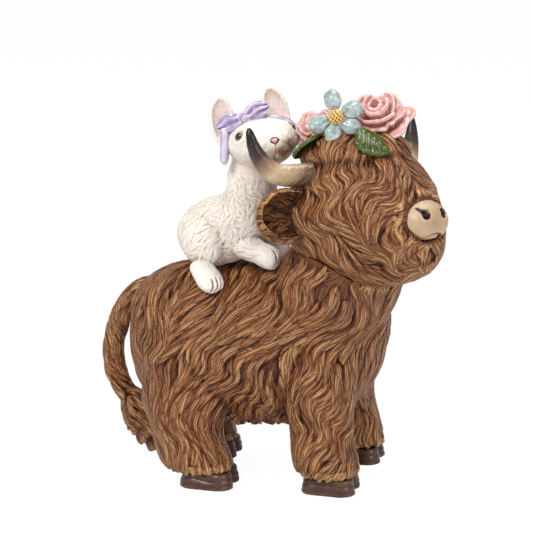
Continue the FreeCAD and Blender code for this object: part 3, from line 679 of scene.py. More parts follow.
def headCoat(material):
    skin = skinOf(["head", "forelock", "muzzle"], voxel=0.46, rounds=24)
    inside = local(skin.points, headPlace)
    x = inside[:, 0]
    girth = seatGirth(inside)
    bare, first, full = headLie["seat"]
    # no locks on the muzzle's seat, all of them behind it
    dressed = np.maximum(smoothStep(9.5, full, girth), smoothStep(bare, first, girth) * smoothStep(34, 22, x))
    dressed = np.maximum(dressed, smoothStep(22, 12, x))
    chin = hill(inside, np.array(headLie["chinReach"]), np.array(headLie["chin"])).prod(1)
    collar = smoothStep(35.5, 31.5, x) * smoothStep(16, 24, x)
    collar = collar * smoothStep(8.3, 9.6, girth) * smoothStep(15, 11, girth)
    ahead = np.array(headPlace)[:3, 0]
    skin.points = skin.points + np.outer(chin * headLie["chinAhead"], ahead)
    skin.displace(collar * (headLie["collar"] + 0.45 * waves(23, 3.2)(skin.points)))
    skin.points = smoothed(skin.points, skin.edges, 3)
    skin.refresh()
    dressHair(skin, headFlow, hair, 12, dressed)
    centres = local(skin.points[skin.faces].mean(1), headPlace)
    covered = (seatGirth(centres) > bare) | (centres[:, 0] < 30)
    right = centres[:, 1] < 0
    addPart(skin, "head_hair_right", covered & right, material, ["head", "forelock"])
    addPart(skin, "head_hair_left", covered & ~right, material, [])


hairPaint = hairMaterial()
bodyCoat(hairPaint)
say("body coat is carved")
headCoat(hairPaint)
say("head coat is carved")

# the tail, as one rope of hair that ends in a tuft
tail = {
    "place": ((-45, -1, 76.5), (0, 0, 0)),
    "path": ((0, 0), (-5, -1.9), (-12, -7.5), (-17.5, -17), (-20, -28.3), (-19, -37.8), (-14.4, -46.3),
             (-9, -53), (-5, -60), (-1.5, -70)),
    "lock": {"spacing": 3.2, "length": (12, 22), "width": (1.3, 2.4), "height": 1.15, "layer": 0.7,
             "step": 0.7, "turn": 11},
    "strand": {"spacing": 1.9, "length": (7, 13), "width": (0.55, 0.95), "height": 0.34, "layer": 0.2,
               "step": 0.6, "turn": 10},
    "sink": 1.25,
    "twist": 0.28,
    "intoRump": (2.4, 0, -1.0),
    "tufts": 0.9,
    "tipDrop": 1.6,
}
tailPlace = seated(cowPlace, tail["place"])
tailSway = waves(31, 22)


def tailFlow(points, normals, angles):
    path = np.array([(x, 0, z) for x, z in tail["path"]], float)
    path = moved(path, tailPlace)
    ahead = unit(np.gradient(path, axis=0))
    away = ((points[:, None, :] - path[None, :, :]) ** 2).sum(2)
    weights = 1 / (away + 1) ** 3
    heading = (weights[:, :, None] * ahead[None, :, :]).sum(1)
    heading = tangent(heading, normals)
    return swung(heading, normals, math.radians(20) * tailSway(points) + tail["twist"] + angles)


def tailCoat(material):
    skin = skinOf(["tail", "tail_switch"], voxel=0.42, rounds=8)
    # the root is pushed into the rump
    root = smoothStep(9, 2, np.linalg.norm(local(skin.points, tailPlace), axis=1))
    skin.points = skin.points + np.outer(root, tail["intoRump"])
    dressHair(skin, tailFlow, tail, 13, 1 - 0.8 * root)
    low = smoothStep(tailPlace[2][3] - 50, tailPlace[2][3] - 66, skin.points[:, 2])
    tufts = np.clip(waves(32, 5)(skin.points), -1, 1)
    skin.displace(low * tail["tufts"] * tufts)
    skin.points[:, 2] -= low * tail["tipDrop"] * np.clip(tufts, 0, 1)
    # painted shade in the dips between the tufts of the switch
    skin.values["shade"] = low * np.clip(0.15 - 0.3 * tufts, 0, 0.5)
    addSkin(skin, "tail_hair", material)


tailCoat(hairPaint)
say("tail is carved")

# the horns, cream at the root and nearly black at the tip
horns = {
    "place": ((-4, 26, 17), (118, 0, 0)),
    "reach": 21,
    "rise": 20,
    "rings": 95,  # radians from the root to the tip
    "ringDepth": 0.07,
    "mottle": {"carve": 1.0, "scale": 120.0, "share": 0.16, "middle": 0.5},
    "colours": ((0.0, (92, 66, 44)), (0.12, (164, 136, 104)), (0.32, (198, 176, 144)), (0.46, (142, 112, 90)),
                (0.6, (66, 46, 38)), (0.88, (22, 15, 13))),
    "patches": ((420.0, 4.0, 1.5), ((0.35, (0.86, 0.83, 0.8, 1)), (0.65, (1.04, 1.03, 1.0, 1)))),
    "grain": (600.0, 3.0, 0.0001, 0.35),
    "finish": {"roughness": 0.34, "coat": 0.15, "coatRoughness": 0.2},
}


def makeHorns():
    material = paint("hornPaint", horns)
    for name, side in sides.items():
        skin = skinOf(["horn_" + name], voxel=0.36, rounds=8)
        inside = local(skin.points, seated(headPlace, horns["place"], side))
        along = (inside[:, 0] + inside[:, 2]) / (horns["reach"] + horns["rise"])
        rings = np.sin(along * horns["rings"] + waves(41, 9)(skin.points)) * horns["ringDepth"]
        skin.displace(rings * smoothStep(0.45, 0.1, along) + 0.06 * waves(43, 4)(skin.points))
        skin.values["carve"] = np.clip(along, 0, 1)
        addSkin(skin, "horn_" + name + "_polished", material)


makeHorns()
say("horns are made")

# the ears: short hair outside, tufts with painted shade in the hollow
ears = {
    "place": ((-8.5, 31.5, 1.0), (122, 0, 0)),
    "lock": {"spacing": 3.2, "length": (8, 15), "width": (1.0, 1.9), "height": 0.8, "layer": 0.4,
             "step": 0.6, "turn": 8},
    "strand": {"spacing": 1.7, "length": (4, 9), "width": (0.45, 0.75), "height": 0.3, "layer": 0.15,
               "step": 0.5, "turn": 9},
    "sink": 0.85,
}


def makeEars(material):
    for name, side in sides.items():
        skin = skinOf(["ear_" + name], voxel=0.36, rounds=4)
        place = seated(headPlace, ears["place"], side) @ turned(0, 0, 90 + 90 * side)
        rotation = np.array(place)[:3, :3]

        def earFlow(points, normals, angles):
            heading = stacked(1.0, 0.0, local(points, place)[:, 2] * 0.07)
            heading = tangent(heading @ rotation.T, normals)
            return swung(heading, normals, 0.35 * waves(52, 8)(points) + angles)

        inside = local(skin.points, place)
        facing = skin.normals @ rotation
        rim = np.hypot(inside[:, 0] / 12.5, inside[:, 2] / 11)
        hollow = smoothStep(0.1, 0.5, facing[:, 1]) * smoothStep(0.9, 0.74, rim)
        dressHair(skin, earFlow, ears, 14 + side)
        skin.displace(hollow * 0.3 * waves(53, 5)(skin.points))
        # painted shade in the hollow, darker toward the root
        skin.values["shade"] = hollow * (0.3 + 0.4 * smoothStep(4, -9, inside[:, 0]))
        addSkin(skin, "ear_" + name + "_hair", material)


makeEars(hairPaint)
say("ears are made")

# the bare muzzle
muzzle = {
    "nostril": (41, 4.9, 0.8),
    "nostrilTail": (1.9, 2.3),
    "nostrilGirth": (1.75, 0.8),
    "nostrilDepth": 0.55,
    "mouthRadius": 8.0,
    "mouthDrop": 7.3,
    "mouthDepth": 0.5,
    "lip": 0.25,
    # the ramp over carve is painted shade in the hollows and a painted highlight on the bumps of the cream
    # skin
    "mottle": {"carve": 0.7, "scale": 120.0, "share": 0.3},
    "colours": ((0.1, (98, 68, 48)), (0.38, (164, 134, 104)), (0.56, (194, 166, 134)),
                (0.9, (222, 200, 172))),
    "covers": {
        "chin": {"noise": (900.0, 3.0, 2.0), "stops": ((0.35, (92, 62, 44)), (0.65, (172, 134, 104)))},
        # painted shade along the mouth line and at the back edge, where the hair meets the muzzle
        "rim": {"colour": (84, 56, 42)},
        "hollow": {"colour": (40, 24, 17)},
    },
    "grain": (700.0, 2.0, 0.00012, 0.35),
    "finish": {"roughness": 0.4},
}


def makeMuzzle():
    skin = skinOf(["muzzle", "lower_lip"], voxel=0.34, rounds=4)
    x, y, z = local(skin.points, headPlace).T
    ahead, aside, up = muzzle["nostril"]
    hollow = np.zeros(len(skin.points))
    out, rise = muzzle["nostrilTail"]
    broad, narrow = muzzle["nostrilGirth"]
    for side in (-1, 1):
        # a comma that runs up and outward from its round end
        across = y * side - aside + 0.4
        lift = z - up + 0.7
        along = np.clip((across * out + lift * rise) / (out * out + rise * rise), 0, 1)
        away = np.hypot(across - along * out, lift - along * rise) / (broad + (narrow - broad) * along)
        hollow = np.maximum(hollow, smoothStep(1.12, 0.82, away) * smoothStep(35.0, 36.6, x))
    skin.displace(-muzzle["nostrilDepth"] * hollow)
    # the mouth is an arch with the lip and the furry chin under it
    reach = np.hypot(y, z + muzzle["mouthDrop"] + muzzle["mouthRadius"])
    front = smoothStep(30, 33, x) * (z < -5)
    line = hill(reach, 0.42, muzzle["mouthRadius"]) * front
    lip = hill(reach, 0.8, muzzle["mouthRadius"] - 1.2) * front
    skin.displace(-muzzle["mouthDepth"] * line + muzzle["lip"] * lip)
    skin.carve(8, 1.2)
    skin.values["hollow"] = hollow
    # painted shade along the mouth line and under the hair at the back edge
    skin.values["rim"] = np.clip(line * 0.85 + smoothStep(32.0, 28.5, x) * 0.8, 0, 1)
    skin.values["chin"] = smoothStep(muzzle["mouthRadius"] - 2.0, muzzle["mouthRadius"] - 2.8, reach) * front
    addSkin(skin, "muzzle_skin", paint("muzzlePaint", muzzle))


makeMuzzle()
say("muzzle is made")


# cloven hooves with a worn lower edge
hooves = {
    "flare": 0.35,
    "rings": 0.09,
    "mottle": {"carve": 1.0, "scale": 140.0, "share": 0.5, "middle": 0.5},
    "colours": ((0.2, (38, 22, 15)), (0.5, (78, 49, 37)), (0.85, (114, 80, 62))),
    "grain": (300.0, 3.0, 0.00018, 0.5),
    "finish": {"roughness": 0.33, "coat": 0.1, "coatRoughness": 0.25},
}


def makeHooves():
    material = paint("hoofPaint", hooves)
    for leg in ("fore", "hind"):
        for side in sides:
            name = f"{leg}_hoof_{side}"
            skin = skinOf([name], voxel=0.34, rounds=7)
            height = skin.points[:, 2]
            growth = np.sin(height * 2.6 + waves(61, 12)(skin.points)) * smoothStep(0.4, 1.4, height)
            skin.displace(hooves["rings"] * growth + 0.08 * waves(62, 4)(skin.points)
                          + hooves["flare"] * smoothStep(7, 1, height))
            skin.points[:, 2] = np.maximum(skin.points[:, 2], 0.02)
            # painted shade in the ring grooves, lighter on the ridges
            skin.carve(8, 1.1)
            addSkin(skin, name + "_worn", material)


makeHooves()
say("hooves are made")

# the rabbit's fur
rabbit = {
    "lock": {"spacing": 1.9, "length": (4, 8), "width": (0.5, 0.95), "height": 0.32, "layer": 0.2,
             "step": 0.5, "turn": 14},
    "strand": {"spacing": 1.25, "length": (2.4, 4.8), "width": (0.32, 0.52), "height": 0.15, "layer": 0.08,
               "step": 0.45, "turn": 16},
    "sink": 0.4,
    "eye": ((7.4, 10.5, 2.5), (62, 8, 0)),
    "cheek": (12.5, 3.6, -4.2),
    "shoulder": ((10.8, 7, -1.7), (10, -19, 0)),
    "heel": ((-3.3, 14, -9.5), (35, -41, 0)),
    "brow": 0.42,
    "socket": 0.3,
    "cheekRise": 0.9,
    "throat": 1.5,
    "mouth": 0.5,
    "toes": 0.7,
    "foreToes": (19.5, (-1.9, 0.6, 2.6)),  # where the paw ends, and where its grooves lie
    "hindToes": (15, (-2.2, 0, 2.2)),
    "tanPatch": (13.8, 4.6, -6.8),
    "mottle": {"carve": 0.8, "scale": 350.0, "share": 0.2},
    "colours": ((0.16, (134, 104, 78)), (0.36, (196, 176, 156)), (0.54, (236, 229, 220)),
                (0.8, (250, 248, 245))),
    "patches": ((60.0, 2.0), ((0.4, (1, 1, 1, 1)), (0.75, (0.9, 0.84, 0.77, 1)))),
    # tan on the beard and on the throat, and painted shade round the eyes
    "covers": {"tan": {"colour": (158, 118, 84)}},
    "grain": (1100.0, 3.0, 0.00012, 0.6),
    "finish": {"roughness": 0.5, "specular": 0.35},
}


def awayFrom(points, place, paired=False):
    # distance from a point, or from the nearer of a pair on both sides
    x, y, z = points.T
    return np.sqrt((x - place[0]) ** 2 + ((np.abs(y) if paired else y) - place[1]) ** 2 + (z - place[2]) ** 2)


def toes(points, place, reach, grooves):
    # shallow grooves that part the toes
    inside = local(points, place)
    amount = np.zeros(len(points))
    for groove in grooves:
        amount += hill(inside[:, 1], 0.42, groove)
    near = np.hypot(inside[:, 1], inside[:, 2]) < 8
    return amount * smoothStep(reach - 4.5, reach - 2.0, inside[:, 0]) * near


def makeRabbit():
    names = ["rabbit_body", "rabbit_head", "rabbit_tail"]
    for side in sides:
        names += ["rabbit_foreleg_" + side, "rabbit_thigh_" + side, "rabbit_foot_" + side]
    skin = skinOf(names, voxel=0.36, rounds=6)
    say(f"rabbit skin has {len(skin.points)} points")
    face = local(skin.points, rabbitHeadPlace)
    x, y, z = face.T
    headOnly = smoothStep(-11, -7, z) * (x < 20)
    # sockets, brows, cheeks and the line of the mouth
    socket = awayFrom(face, rabbit["eye"][0], True)
    skin.displace(headOnly * (rabbit["brow"] * hill(socket, 0.7, 2.9) - rabbit["socket"] * hill(socket, 1.5)))
    skin.displace(headOnly * rabbit["cheekRise"] * hill(awayFrom(face, rabbit["cheek"], True), 3.0))
    fromAxis = np.hypot(x, y)
    throat = smoothStep(-5, -10, z) * smoothStep(-27, -18, z) * smoothStep(20, 14, fromAxis)
    skin.displace(rabbit["throat"] * throat)
    # the cheeks run into the neck without a pinch
    filled = smoothed(skin.points, skin.edges, 45, 0.9)
    joint = hill(z, 3.6, -9.5) * smoothStep(20, 14, fromAxis)
    skin.points = skin.points + (filled - skin.points) * joint[:, None]
    muzzleLine = hill(y, 0.4) * smoothStep(-2.4, -3.4, z) * smoothStep(12, 14, x)
    skin.displace(-rabbit["mouth"] * muzzleLine)
    skin.refresh()
    rotation = np.array(rabbitHeadPlace)[:3, :3]

    def furFlow(points, normals, angles):
        inside = local(points, rabbitHeadPlace)
        onHead = (smoothStep(-9, -6, inside[:, 2]) * (np.linalg.norm(inside, axis=1) < 19))[:, None]
        back = stacked(-1.0, inside[:, 1] * 0.05, -0.45) @ rotation.T
        x, y, z = local(points, rabbitPlace).T
        down = stacked(np.where(x > 6, 0.25, -0.75), np.sign(y) * 0.15, -0.9)
        down[(z < -2) & (x > 6)] = (1.0, 0.0, -0.35)
        heading = tangent(down * (1 - onHead) + back * onHead, normals)
        return swung(heading, normals, 0.7 * waves(72, 9)(points) + angles)

    # finer fur on the face and the paws
    shy = 0.35 + 0.65 * smoothStep(12, 20, np.linalg.norm(face, axis=1))
    grooves = np.zeros(len(skin.points))
    smoothPaws = np.zeros(len(skin.points))
    for side in (-1, 1):
        shoulder, heel = (seated(rabbitPlace, rabbit[key], side) for key in ("shoulder", "heel"))
        grooves += toes(skin.points, shoulder, *rabbit["foreToes"])
        grooves += toes(skin.points, heel, *rabbit["hindToes"])
        for place, reach in ((shoulder, 10), (heel, 3)):
            inside = local(skin.points, place)
            near = np.hypot(inside[:, 1], inside[:, 2]) < 7.5
            smoothPaws = np.maximum(smoothPaws, smoothStep(reach - 4, reach + 3, inside[:, 0]) * near)
    shy = shy * (1 - 0.4 * smoothPaws)
    dressHair(skin, furFlow, rabbit, 17, shy)
    grooves = np.clip(grooves, 0, 1)
    skin.displace(-rabbit["toes"] * grooves)
    # painted shade: beige in the hollows of the fur and in the toe grooves, white on the ridges
    shown = 0.52 + skin.relief(4) / 0.42 - 0.4 * grooves + 0.12 * (1 - shy)
    skin.values["carve"] = np.clip(shown, 0, 1)
    inside = local(skin.points, rabbitHeadPlace)
    x, _, z = inside.T
    beard = smoothStep(8.2, 4.2, awayFrom(inside, rabbit["tanPatch"]))
    # a faint patchy tan band on the throat under the head
    neck = smoothStep(-4, -9, z) * smoothStep(-24, -15, z) * smoothStep(-4, 4, x)
    # a tan eyelid round the eye and a faint painted shade in the socket round it
    rim = hill(socket, 0.45, 2.2) * 0.5 + hill(socket, 0.9, 3.6) * 0.08
    patches = 0.78 + 0.35 * waves(75, 3)(skin.points)
    skin.values["tan"] = np.clip(np.maximum(beard * patches, neck * patches * 0.42) + rim * headOnly, 0, 1)
    addSkin(skin, "rabbit_fur", paint("furPaint", rabbit))


makeRabbit()
say("rabbit is carved")


rabbitEars = {
    "right": ((-9.3, -12.3, 11.3), (0, 0, -4)),
    "left": ((-6.2, 9.9, 12.1), (0, 0, 12)),
    "mottle": {"carve": 0.7, "scale": 260.0, "share": 0.3},
    "colours": ((0.2, (196, 180, 164)), (0.5, (232, 226, 218)), (0.8, (246, 243, 238))),
    "covers": {"hollow": {"stops": ((0.2, (200, 170, 158)), (0.5, (232, 215, 206)), (0.8, (244, 234, 228)))}},
    "grain": (900.0, 3.0, 0.0001, 0.5),
    "finish": {"roughness": 0.45, "subsurface": 0.08, "subsurfaceScale": 0.001},
}


def makeRabbitEars():
    material = paint("rabbitEarPaint", rabbitEars)
    for name in sides:
        skin = skinOf(["rabbit_ear_" + name], voxel=0.24, rounds=4)
        place = seated(rabbitHeadPlace, rabbitEars[name])
        inside = local(skin.points, place)
        facing = skin.normals @ np.array(place)[:3, :3]
        reach = np.hypot(inside[:, 1] / 5.25, inside[:, 2] / 10.5)
        skin.values["hollow"] = smoothStep(0.1, 0.6, facing[:, 0]) * smoothStep(0.95, 0.75, reach)
        veins = np.sin(inside[:, 1] * 2.6 + 1.6 * waves(81, 6)(skin.points)) * 0.03
        skin.displace(veins + 0.12 * waves(82, 5)(skin.points) + 0.04 * waves(83, 1.6)(skin.points))
        # painted shade in the hollows and lighter ridges over the white paint
        skin.carve(8, 0.3)
        addSkin(skin, "rabbit_ear_" + name + "_cup", material)


eye = {
    "radius": 2.05,
    "stretch": (1.0, 1.15, 0.95),
    "colours": ((0.0, (14, 10, 9)), (0.8, (18, 12, 10)), (0.85, (120, 66, 30)), (0.93, (168, 106, 58)),
                (0.99, (60, 34, 22))),
    "finish": {"roughness": 0.08, "coat": 1.0, "coatRoughness": 0.02},
}
nose = {
    "mottle": {"carve": 0.75, "scale": 160.0, "share": 0.5, "middle": 0.25},
    "colours": ((0.15, (182, 128, 116)), (0.5, (228, 180, 170)), (0.85, (242, 206, 198))),
    "grain": (900.0, 3.0, 0.0001, 0.4),
    "finish": {"roughness": 0.35, "coat": 0.3, "coatRoughness": 0.12},
}


def eyeMaterial():
    shader = Shader("eyePaint")
    shader.set(colour=shader.ramp(shader.value("gaze"), eye["colours"]), **eye["finish"])
    return shader.material


def ball(radius, place, stretch, rings=24):
    # a round form with its pole along the place's x axis
    bend = math.pi * np.arange(1, rings)[:, None] / rings
    spin = math.pi * np.arange(rings * 2) / rings
    rows = np.stack([np.cos(bend) + 0 * spin, np.sin(bend) * np.cos(spin), np.sin(bend) * np.sin(spin)], 2)
    points = np.concatenate([[(1, 0, 0)], rows.reshape(-1, 3), [(-1, 0, 0)]]) * radius * np.array(stretch)
    corner = np.arange(1, len(points) - 1).reshape(rings - 1, -1)
    after = np.roll(corner, -1, 1)
    pole = np.zeros_like(corner[0])
    strips = ((pole, corner[0], after[0]), (after[-1], corner[-1], pole + len(points) - 1),
              (corner[:-1], corner[1:], after[1:]), (corner[:-1], after[1:], after[:-1]))
    faces = np.concatenate([np.stack(strip, -1).reshape(-1, 3) for strip in strips])
    return moved(points, place), faces, points


def makeFace():
    material = eyeMaterial()
    for name, side in sides.items():
        place = seated(rabbitHeadPlace, rabbit["eye"], side)
        points, faces, plain = ball(eye["radius"], place, eye["stretch"])
        gaze = np.hypot(plain[:, 1], plain[:, 2]) / eye["radius"]
        gaze = np.where(plain[:, 0] > 0, gaze, 1)
        addPiece("rabbit_eye_" + name + "_bead", points, faces, {"gaze": gaze}, material,
                 ["rabbit_eye_" + name])
    skin = skinOf(["rabbit_nose"], voxel=0.2, rounds=3)
    inside = local(skin.points, rabbitHeadPlace)
    # a flat triangle that narrows downward
    low = smoothStep(-0.6, -2.8, inside[:, 2])
    skin.points = skin.points - np.outer(inside[:, 1] * 0.5 * low, np.array(rabbitHeadPlace)[:3, 1])
    skin.displace(-0.35 - 0.25 * hill(inside[:, 1], 0.3) * smoothStep(-1.6, -2.4, inside[:, 2]))
    # painted shade in the hollows of the pad, lighter on its bumps
    skin.carve(6, 0.5)
    addSkin(skin, "rabbit_nose_pad", paint("nosePaint", nose))


makeRabbitEars()
makeFace()
say("rabbit's face is made")

# the lilac ribbon, with pleats that run into the knot
ribbon = {
    "knot": (3.1, -6.9, 10.1),
    "pleats": 5,
    "pleatDepth": 0.34,
    "tailFlare": 0.6,
    "mottle": {"carve": 0.75, "scale": 200.0, "share": 0.25},
    "colours": ((0.15, (88, 68, 110)), (0.42, (148, 128, 170)), (0.62, (180, 162, 196)),
                (0.88, (218, 206, 226))),
    "grain": (500.0, 3.0, 0.0001, 0.3),
    "finish": {"roughness": 0.22, "coat": 0.8, "coatRoughness": 0.08},
}


def makeRibbon():
    material = paint("ribbonPaint", ribbon)
    centre = moved(np.array([ribbon["knot"]]), rabbitHeadPlace)[0]
    pieces = {"ribbon_band": ("folded", 0.24), "bow_loop_right": ("pleated", 0.22),
              "bow_loop_left": ("pleated", 0.22), "bow_knot": ("wrapped", 0.22), "bow_tail": ("folded", 0.22)}
    for name, (look, voxel) in pieces.items():
        skin = skinOf([name], voxel=voxel, rounds=5)
        offset = skin.points - centre
        away = np.linalg.norm(offset, axis=1)
        axis = unit(offset.mean(0))
        first = unit(np.cross(axis, np.array([0.3, 0.2, 1.0])))
        second = np.cross(axis, first)
        spin = np.arctan2(offset @ second, offset @ first)
        if name.startswith("bow_loop"):
            pleat = np.cos(spin * ribbon["pleats"] + 1.3 * waves(91, 9)(skin.points))
            skin.displace(0.35 + ribbon["pleatDepth"] * pleat * smoothStep(0.5, 3.5, away)
                          + 0.15 * waves(92, 4)(skin.points))
        elif name == "bow_knot":
            skin.displace(0.2 + 0.22 * np.cos(offset @ first * 3.4))
        elif name == "bow_tail":
            skin.displace(0.3 + ribbon["tailFlare"] * smoothStep(3, 12, away)
                          + 0.15 * waves(93, 5)(skin.points))
        else:
            skin.displace(0.15 + 0.12 * waves(93, 5)(skin.points))
        skin.points = smoothed(skin.points, skin.edges, 2)
        # painted shade in the folds and a painted highlight on the pleats
        skin.carve(8, 0.35)
        addSkin(skin, name + "_" + look, material)


makeRibbon()
say("ribbon is made")

# the blue flower
flower = {
    "place": ((2.1, -13.3, 38.4), (-42, 12, 0)),
    "petals": (98, 23, -36, -102, -161),  # degrees round the middle
    "petal": ((0, 6.8, 0), (7, 9, 0)),
    "dome": 0.9,
    "crease": 0.3,
    "plump": (1.2, 1.0, 0.9),  # thicker and narrower than the solid, so the petals stand apart
    "mottle": {"carve": 0.45, "scale": 600.0, "share": 0.55, "detail": 5.0, "distortion": 0.6},
    "colours": ((0.26, (84, 108, 112)), (0.43, (132, 154, 156)), (0.57, (172, 188, 186)),
                (0.74, (226, 232, 228))),
    "grain": (700.0, 4.0, 0.00016, 0.5),
    "finish": {"roughness": 0.25, "coat": 0.7, "coatRoughness": 0.1},
}
beads = {
    "count": 64,
    "width": 0.26,  # radians
    "height": (0.45, 1.15),
    "sink": 0.8,
    "mottle": {"carve": 0.75, "scale": 160.0, "share": 0.5, "middle": 0.25},
    "colours": ((0.15, (70, 40, 14)), (0.5, (184, 130, 46)), (0.85, (246, 214, 128))),
    "grain": (900.0, 3.0, 0.0001, 0.4),
    "finish": {"roughness": 0.25, "coat": 0.7, "coatRoughness": 0.12},
}
flowerPlace = seated(headPlace, flower["place"])


def makeBlueFlower():
    material = paint("bluePaint", flower)
    for number, angle in enumerate(flower["petals"], 1):
        name = f"blue_petal_{number}"
        skin = skinOf([name], voxel=0.24, rounds=5)
        place = seated(flowerPlace @ turned(0, 0, angle), flower["petal"])
        inside = local(skin.points, place)
        skin.points = moved(inside * np.array(flower["plump"]), place)
        facing = skin.normals @ np.array(place)[:3, :3]
        dome = hill(inside[:, 2], 3.2) * hill(inside[:, 1], 3.4, 0.8)
        crease = hill(inside[:, 2], 0.6) * smoothStep(1.0, -2.5, inside[:, 1])
        top = smoothStep(0.1, 0.6, facing[:, 0])
        cupped = (flower["dome"] * dome - flower["crease"] * crease) * top
        skin.displace(cupped - 0.12 + 0.16 * waves(100 + number, 4)(skin.points))
        # painted shade in the crease and a painted highlight on the domes
        skin.carve(10, 0.6)
        addSkin(skin, name + "_dished", material)
    skin = skinOf(["blue_flower_centre"], voxel=0.2, rounds=3)
    direction = unit(skin.points - skin.points.mean(0))
    seed = np.arange(beads["count"])
    height = 1 - 2 * (seed + 0.5) / beads["count"]
    girth = np.sqrt(1 - height * height)
    spin = seed * 2.39996  # the golden angle
    toward = direction @ np.stack([girth * np.cos(spin), girth * np.sin(spin), height])
    bend = np.arccos(np.clip(toward.max(1), -1, 1))
    bead = np.sqrt(np.clip(1 - (bend / beads["width"]) ** 2, 0, 1))
    tall = np.random.default_rng(19).uniform(*beads["height"], beads["count"])[toward.argmax(1)]
    skin.displace(bead * tall - beads["sink"])
    # painted highlight on the bead tops and painted shade between the beads
    skin.values["carve"] = bead
    addSkin(skin, "blue_flower_beads", paint("goldPaint", beads))


makeBlueFlower()
say("blue flower is made")

# the roses: rings of cupped petals round a rolled bud
roses = {
    "large": {"place": ((5.1, 5.7, 36.5), (-50, 50, 0)), "radius": 12.0, "seed": 7},
    "small": {"place": ((-14.7, -8.0, 33.6), (-60, 40, 0)), "radius": 8.5, "seed": 5},
}
rosePaint = {
    "mottle": {"carve": 0.7, "scale": 240.0, "share": 0.3, "detail": 4.0, "distortion": 0.5},
    "colours": ((0.12, (140, 66, 66)), (0.36, (200, 138, 132)), (0.56, (222, 174, 166)),
                (0.86, (244, 216, 208))),
    "grain": (500.0, 4.0, 0.00018, 0.45),
    "finish": {"roughness": 0.27, "coat": 0.55, "coatRoughness": 0.12},
}
roseRings = (
    # petals in the ring, radius at the rim, height of the root and of the rim, width in degrees, curl
    (5, 1.0, -0.34, 0.2, 84, 0.3),
    (5, 0.8, -0.2, 0.46, 88, 0.22),
    (4, 0.58, -0.05, 0.64, 104, 0.14),
    (3, 0.36, 0.1, 0.74, 132, 0.05),
    (2, 0.17, 0.2, 0.76, 200, 0.0),
)


def sheetGrid(rows, columns):
    # shares of the length from 0 to 1, and of the width from -1 to 1
    return np.meshgrid(np.linspace(0, 1, rows), np.linspace(-1, 1, columns), indexing="ij")


def sheetFaces(rows, columns):
    # squares on both sides of a sheet, and a wall round its rim
    corners = np.arange(rows * columns).reshape(rows, columns)
    squares = np.stack([corners[:-1, :-1], corners[:-1, 1:], corners[1:, 1:], corners[1:, :-1]], 2)
    squares = squares.reshape(-1, 4)
    rim = np.concatenate([corners[0], corners[1:, -1], corners[-1, -2::-1], corners[-2:0:-1, 0]])
    after = np.roll(rim, -1)
    wall = np.stack([after, rim, rim + corners.size, after + corners.size], 1)
    return np.concatenate([squares, squares[:, ::-1] + corners.size, wall])


def petalSheet(radius, rimShare, lowShare, highShare, span, curl, spin, rng, thickness):
    # a cupped petal with its outer and inner faces, in the rose's frame, whose x axis faces out
    rows, columns = 26, 34
    b, a = sheetGrid(rows, columns)
    sway = rng.uniform(-0.1, 0.1)
    fullness = np.sqrt(np.clip(1 - (a * 0.98) ** 4, 0, 1))
    rise = b * (0.45 + 0.55 * fullness) * (1 + 0.06 * np.sin(a * 5 + spin) * b)
    angle = spin + a * math.radians(span / 2) * (0.55 + 0.45 * np.sqrt(b))
    reach = radius * rimShare * (0.3 + 0.7 * rise ** 0.75) * (1 + 0.05 * np.sin(a * 3.2 + spin * 2) * b)
    height = radius * (lowShare + (highShare - lowShare) * rise ** 1.3) + radius * sway * b * a
    roll = curl * radius * smoothStep(0.7, 1.0, rise)
    reach = reach + roll * 0.55
    height = height - roll * 0.45
    outer = np.stack([height, reach * np.cos(angle), reach * np.sin(angle)], 2)
    facing = unit(np.cross(np.gradient(outer, axis=1), np.gradient(outer, axis=0)))
    girth = thickness * (0.45 + 0.55 * np.sqrt(np.clip(1 - (2 * b - 1) ** 8, 0, 1)))[:, :, None]
    inner = outer + facing * girth
    points = np.concatenate([outer.reshape(-1, 3), inner.reshape(-1, 3)])
    return points, sheetFaces(rows, columns)


def makeRose(name, spec, material):
    rng = np.random.default_rng(spec["seed"])
    place = seated(headPlace, spec["place"])
    radius = spec["radius"]
    corners, quads = [], []
    count = 0
    for ring, (number, rimShare, low, high, span, curl) in enumerate(roseRings):
        for petal in range(number):
            spin = 2 * math.pi * (petal + 0.5 * (ring % 2)) / number + rng.uniform(-0.15, 0.15) + ring * 0.4
            points, faces = petalSheet(
                radius, rimShare * rng.uniform(0.94, 1.04), low, high * rng.uniform(0.93, 1.05), span, curl,
                spin, rng, radius * 0.1 + 0.4)
            corners.append(points)
            quads += (faces + count).tolist()
            count += len(points)
    # a cushion fills the middle
    points, faces, _ = ball(radius * 0.62, Matrix.Identity(4), (0.62, 1, 1), 14)
    corners.append(points)
    quads += (faces + count).tolist()
    skin = Skin(["rose_" + name], moved(np.concatenate(corners), place), quads, voxel=0.3, rounds=4)
    skin.displace(0.1 * waves(120, 3)(skin.points))
    # painted shade deep between the petals, lighter on their rims
    skin.carve(14, 1.1)
    addSkin(skin, f"rose_{name}_petals", material)


roseMaterial = paint("rosePaint", rosePaint)
for roseName, roseSpec in roses.items():
    makeRose(roseName, roseSpec, roseMaterial)
say("roses are made")

# two glazed leaves with a midrib and side veins
leaves = {
    "right": {"place": ((10.5, -10.2, 33.2), (28, -38, 20)), "droop": 1.9},
    "left": {"place": ((-3.8, -16.2, 31.9), (-165, -33, 0)), "droop": 1.6},
}
leafForm = {
    "length": 16.0,
    "width": 15.5,
    "thickness": 1.3,
    "veins": 6,
    "depth": 0.42,
    "puff": 0.3,
    "mottle": {"carve": 0.75, "scale": 220.0, "share": 0.25},
    "colours": ((0.12, (10, 20, 1)), (0.36, (48, 66, 5)), (0.58, (98, 112, 12)), (0.9, (190, 194, 70))),
    "grain": (450.0, 3.0, 0.0001, 0.35),
    "finish": {"roughness": 0.28, "coat": 0.4, "coatRoughness": 0.08},
}


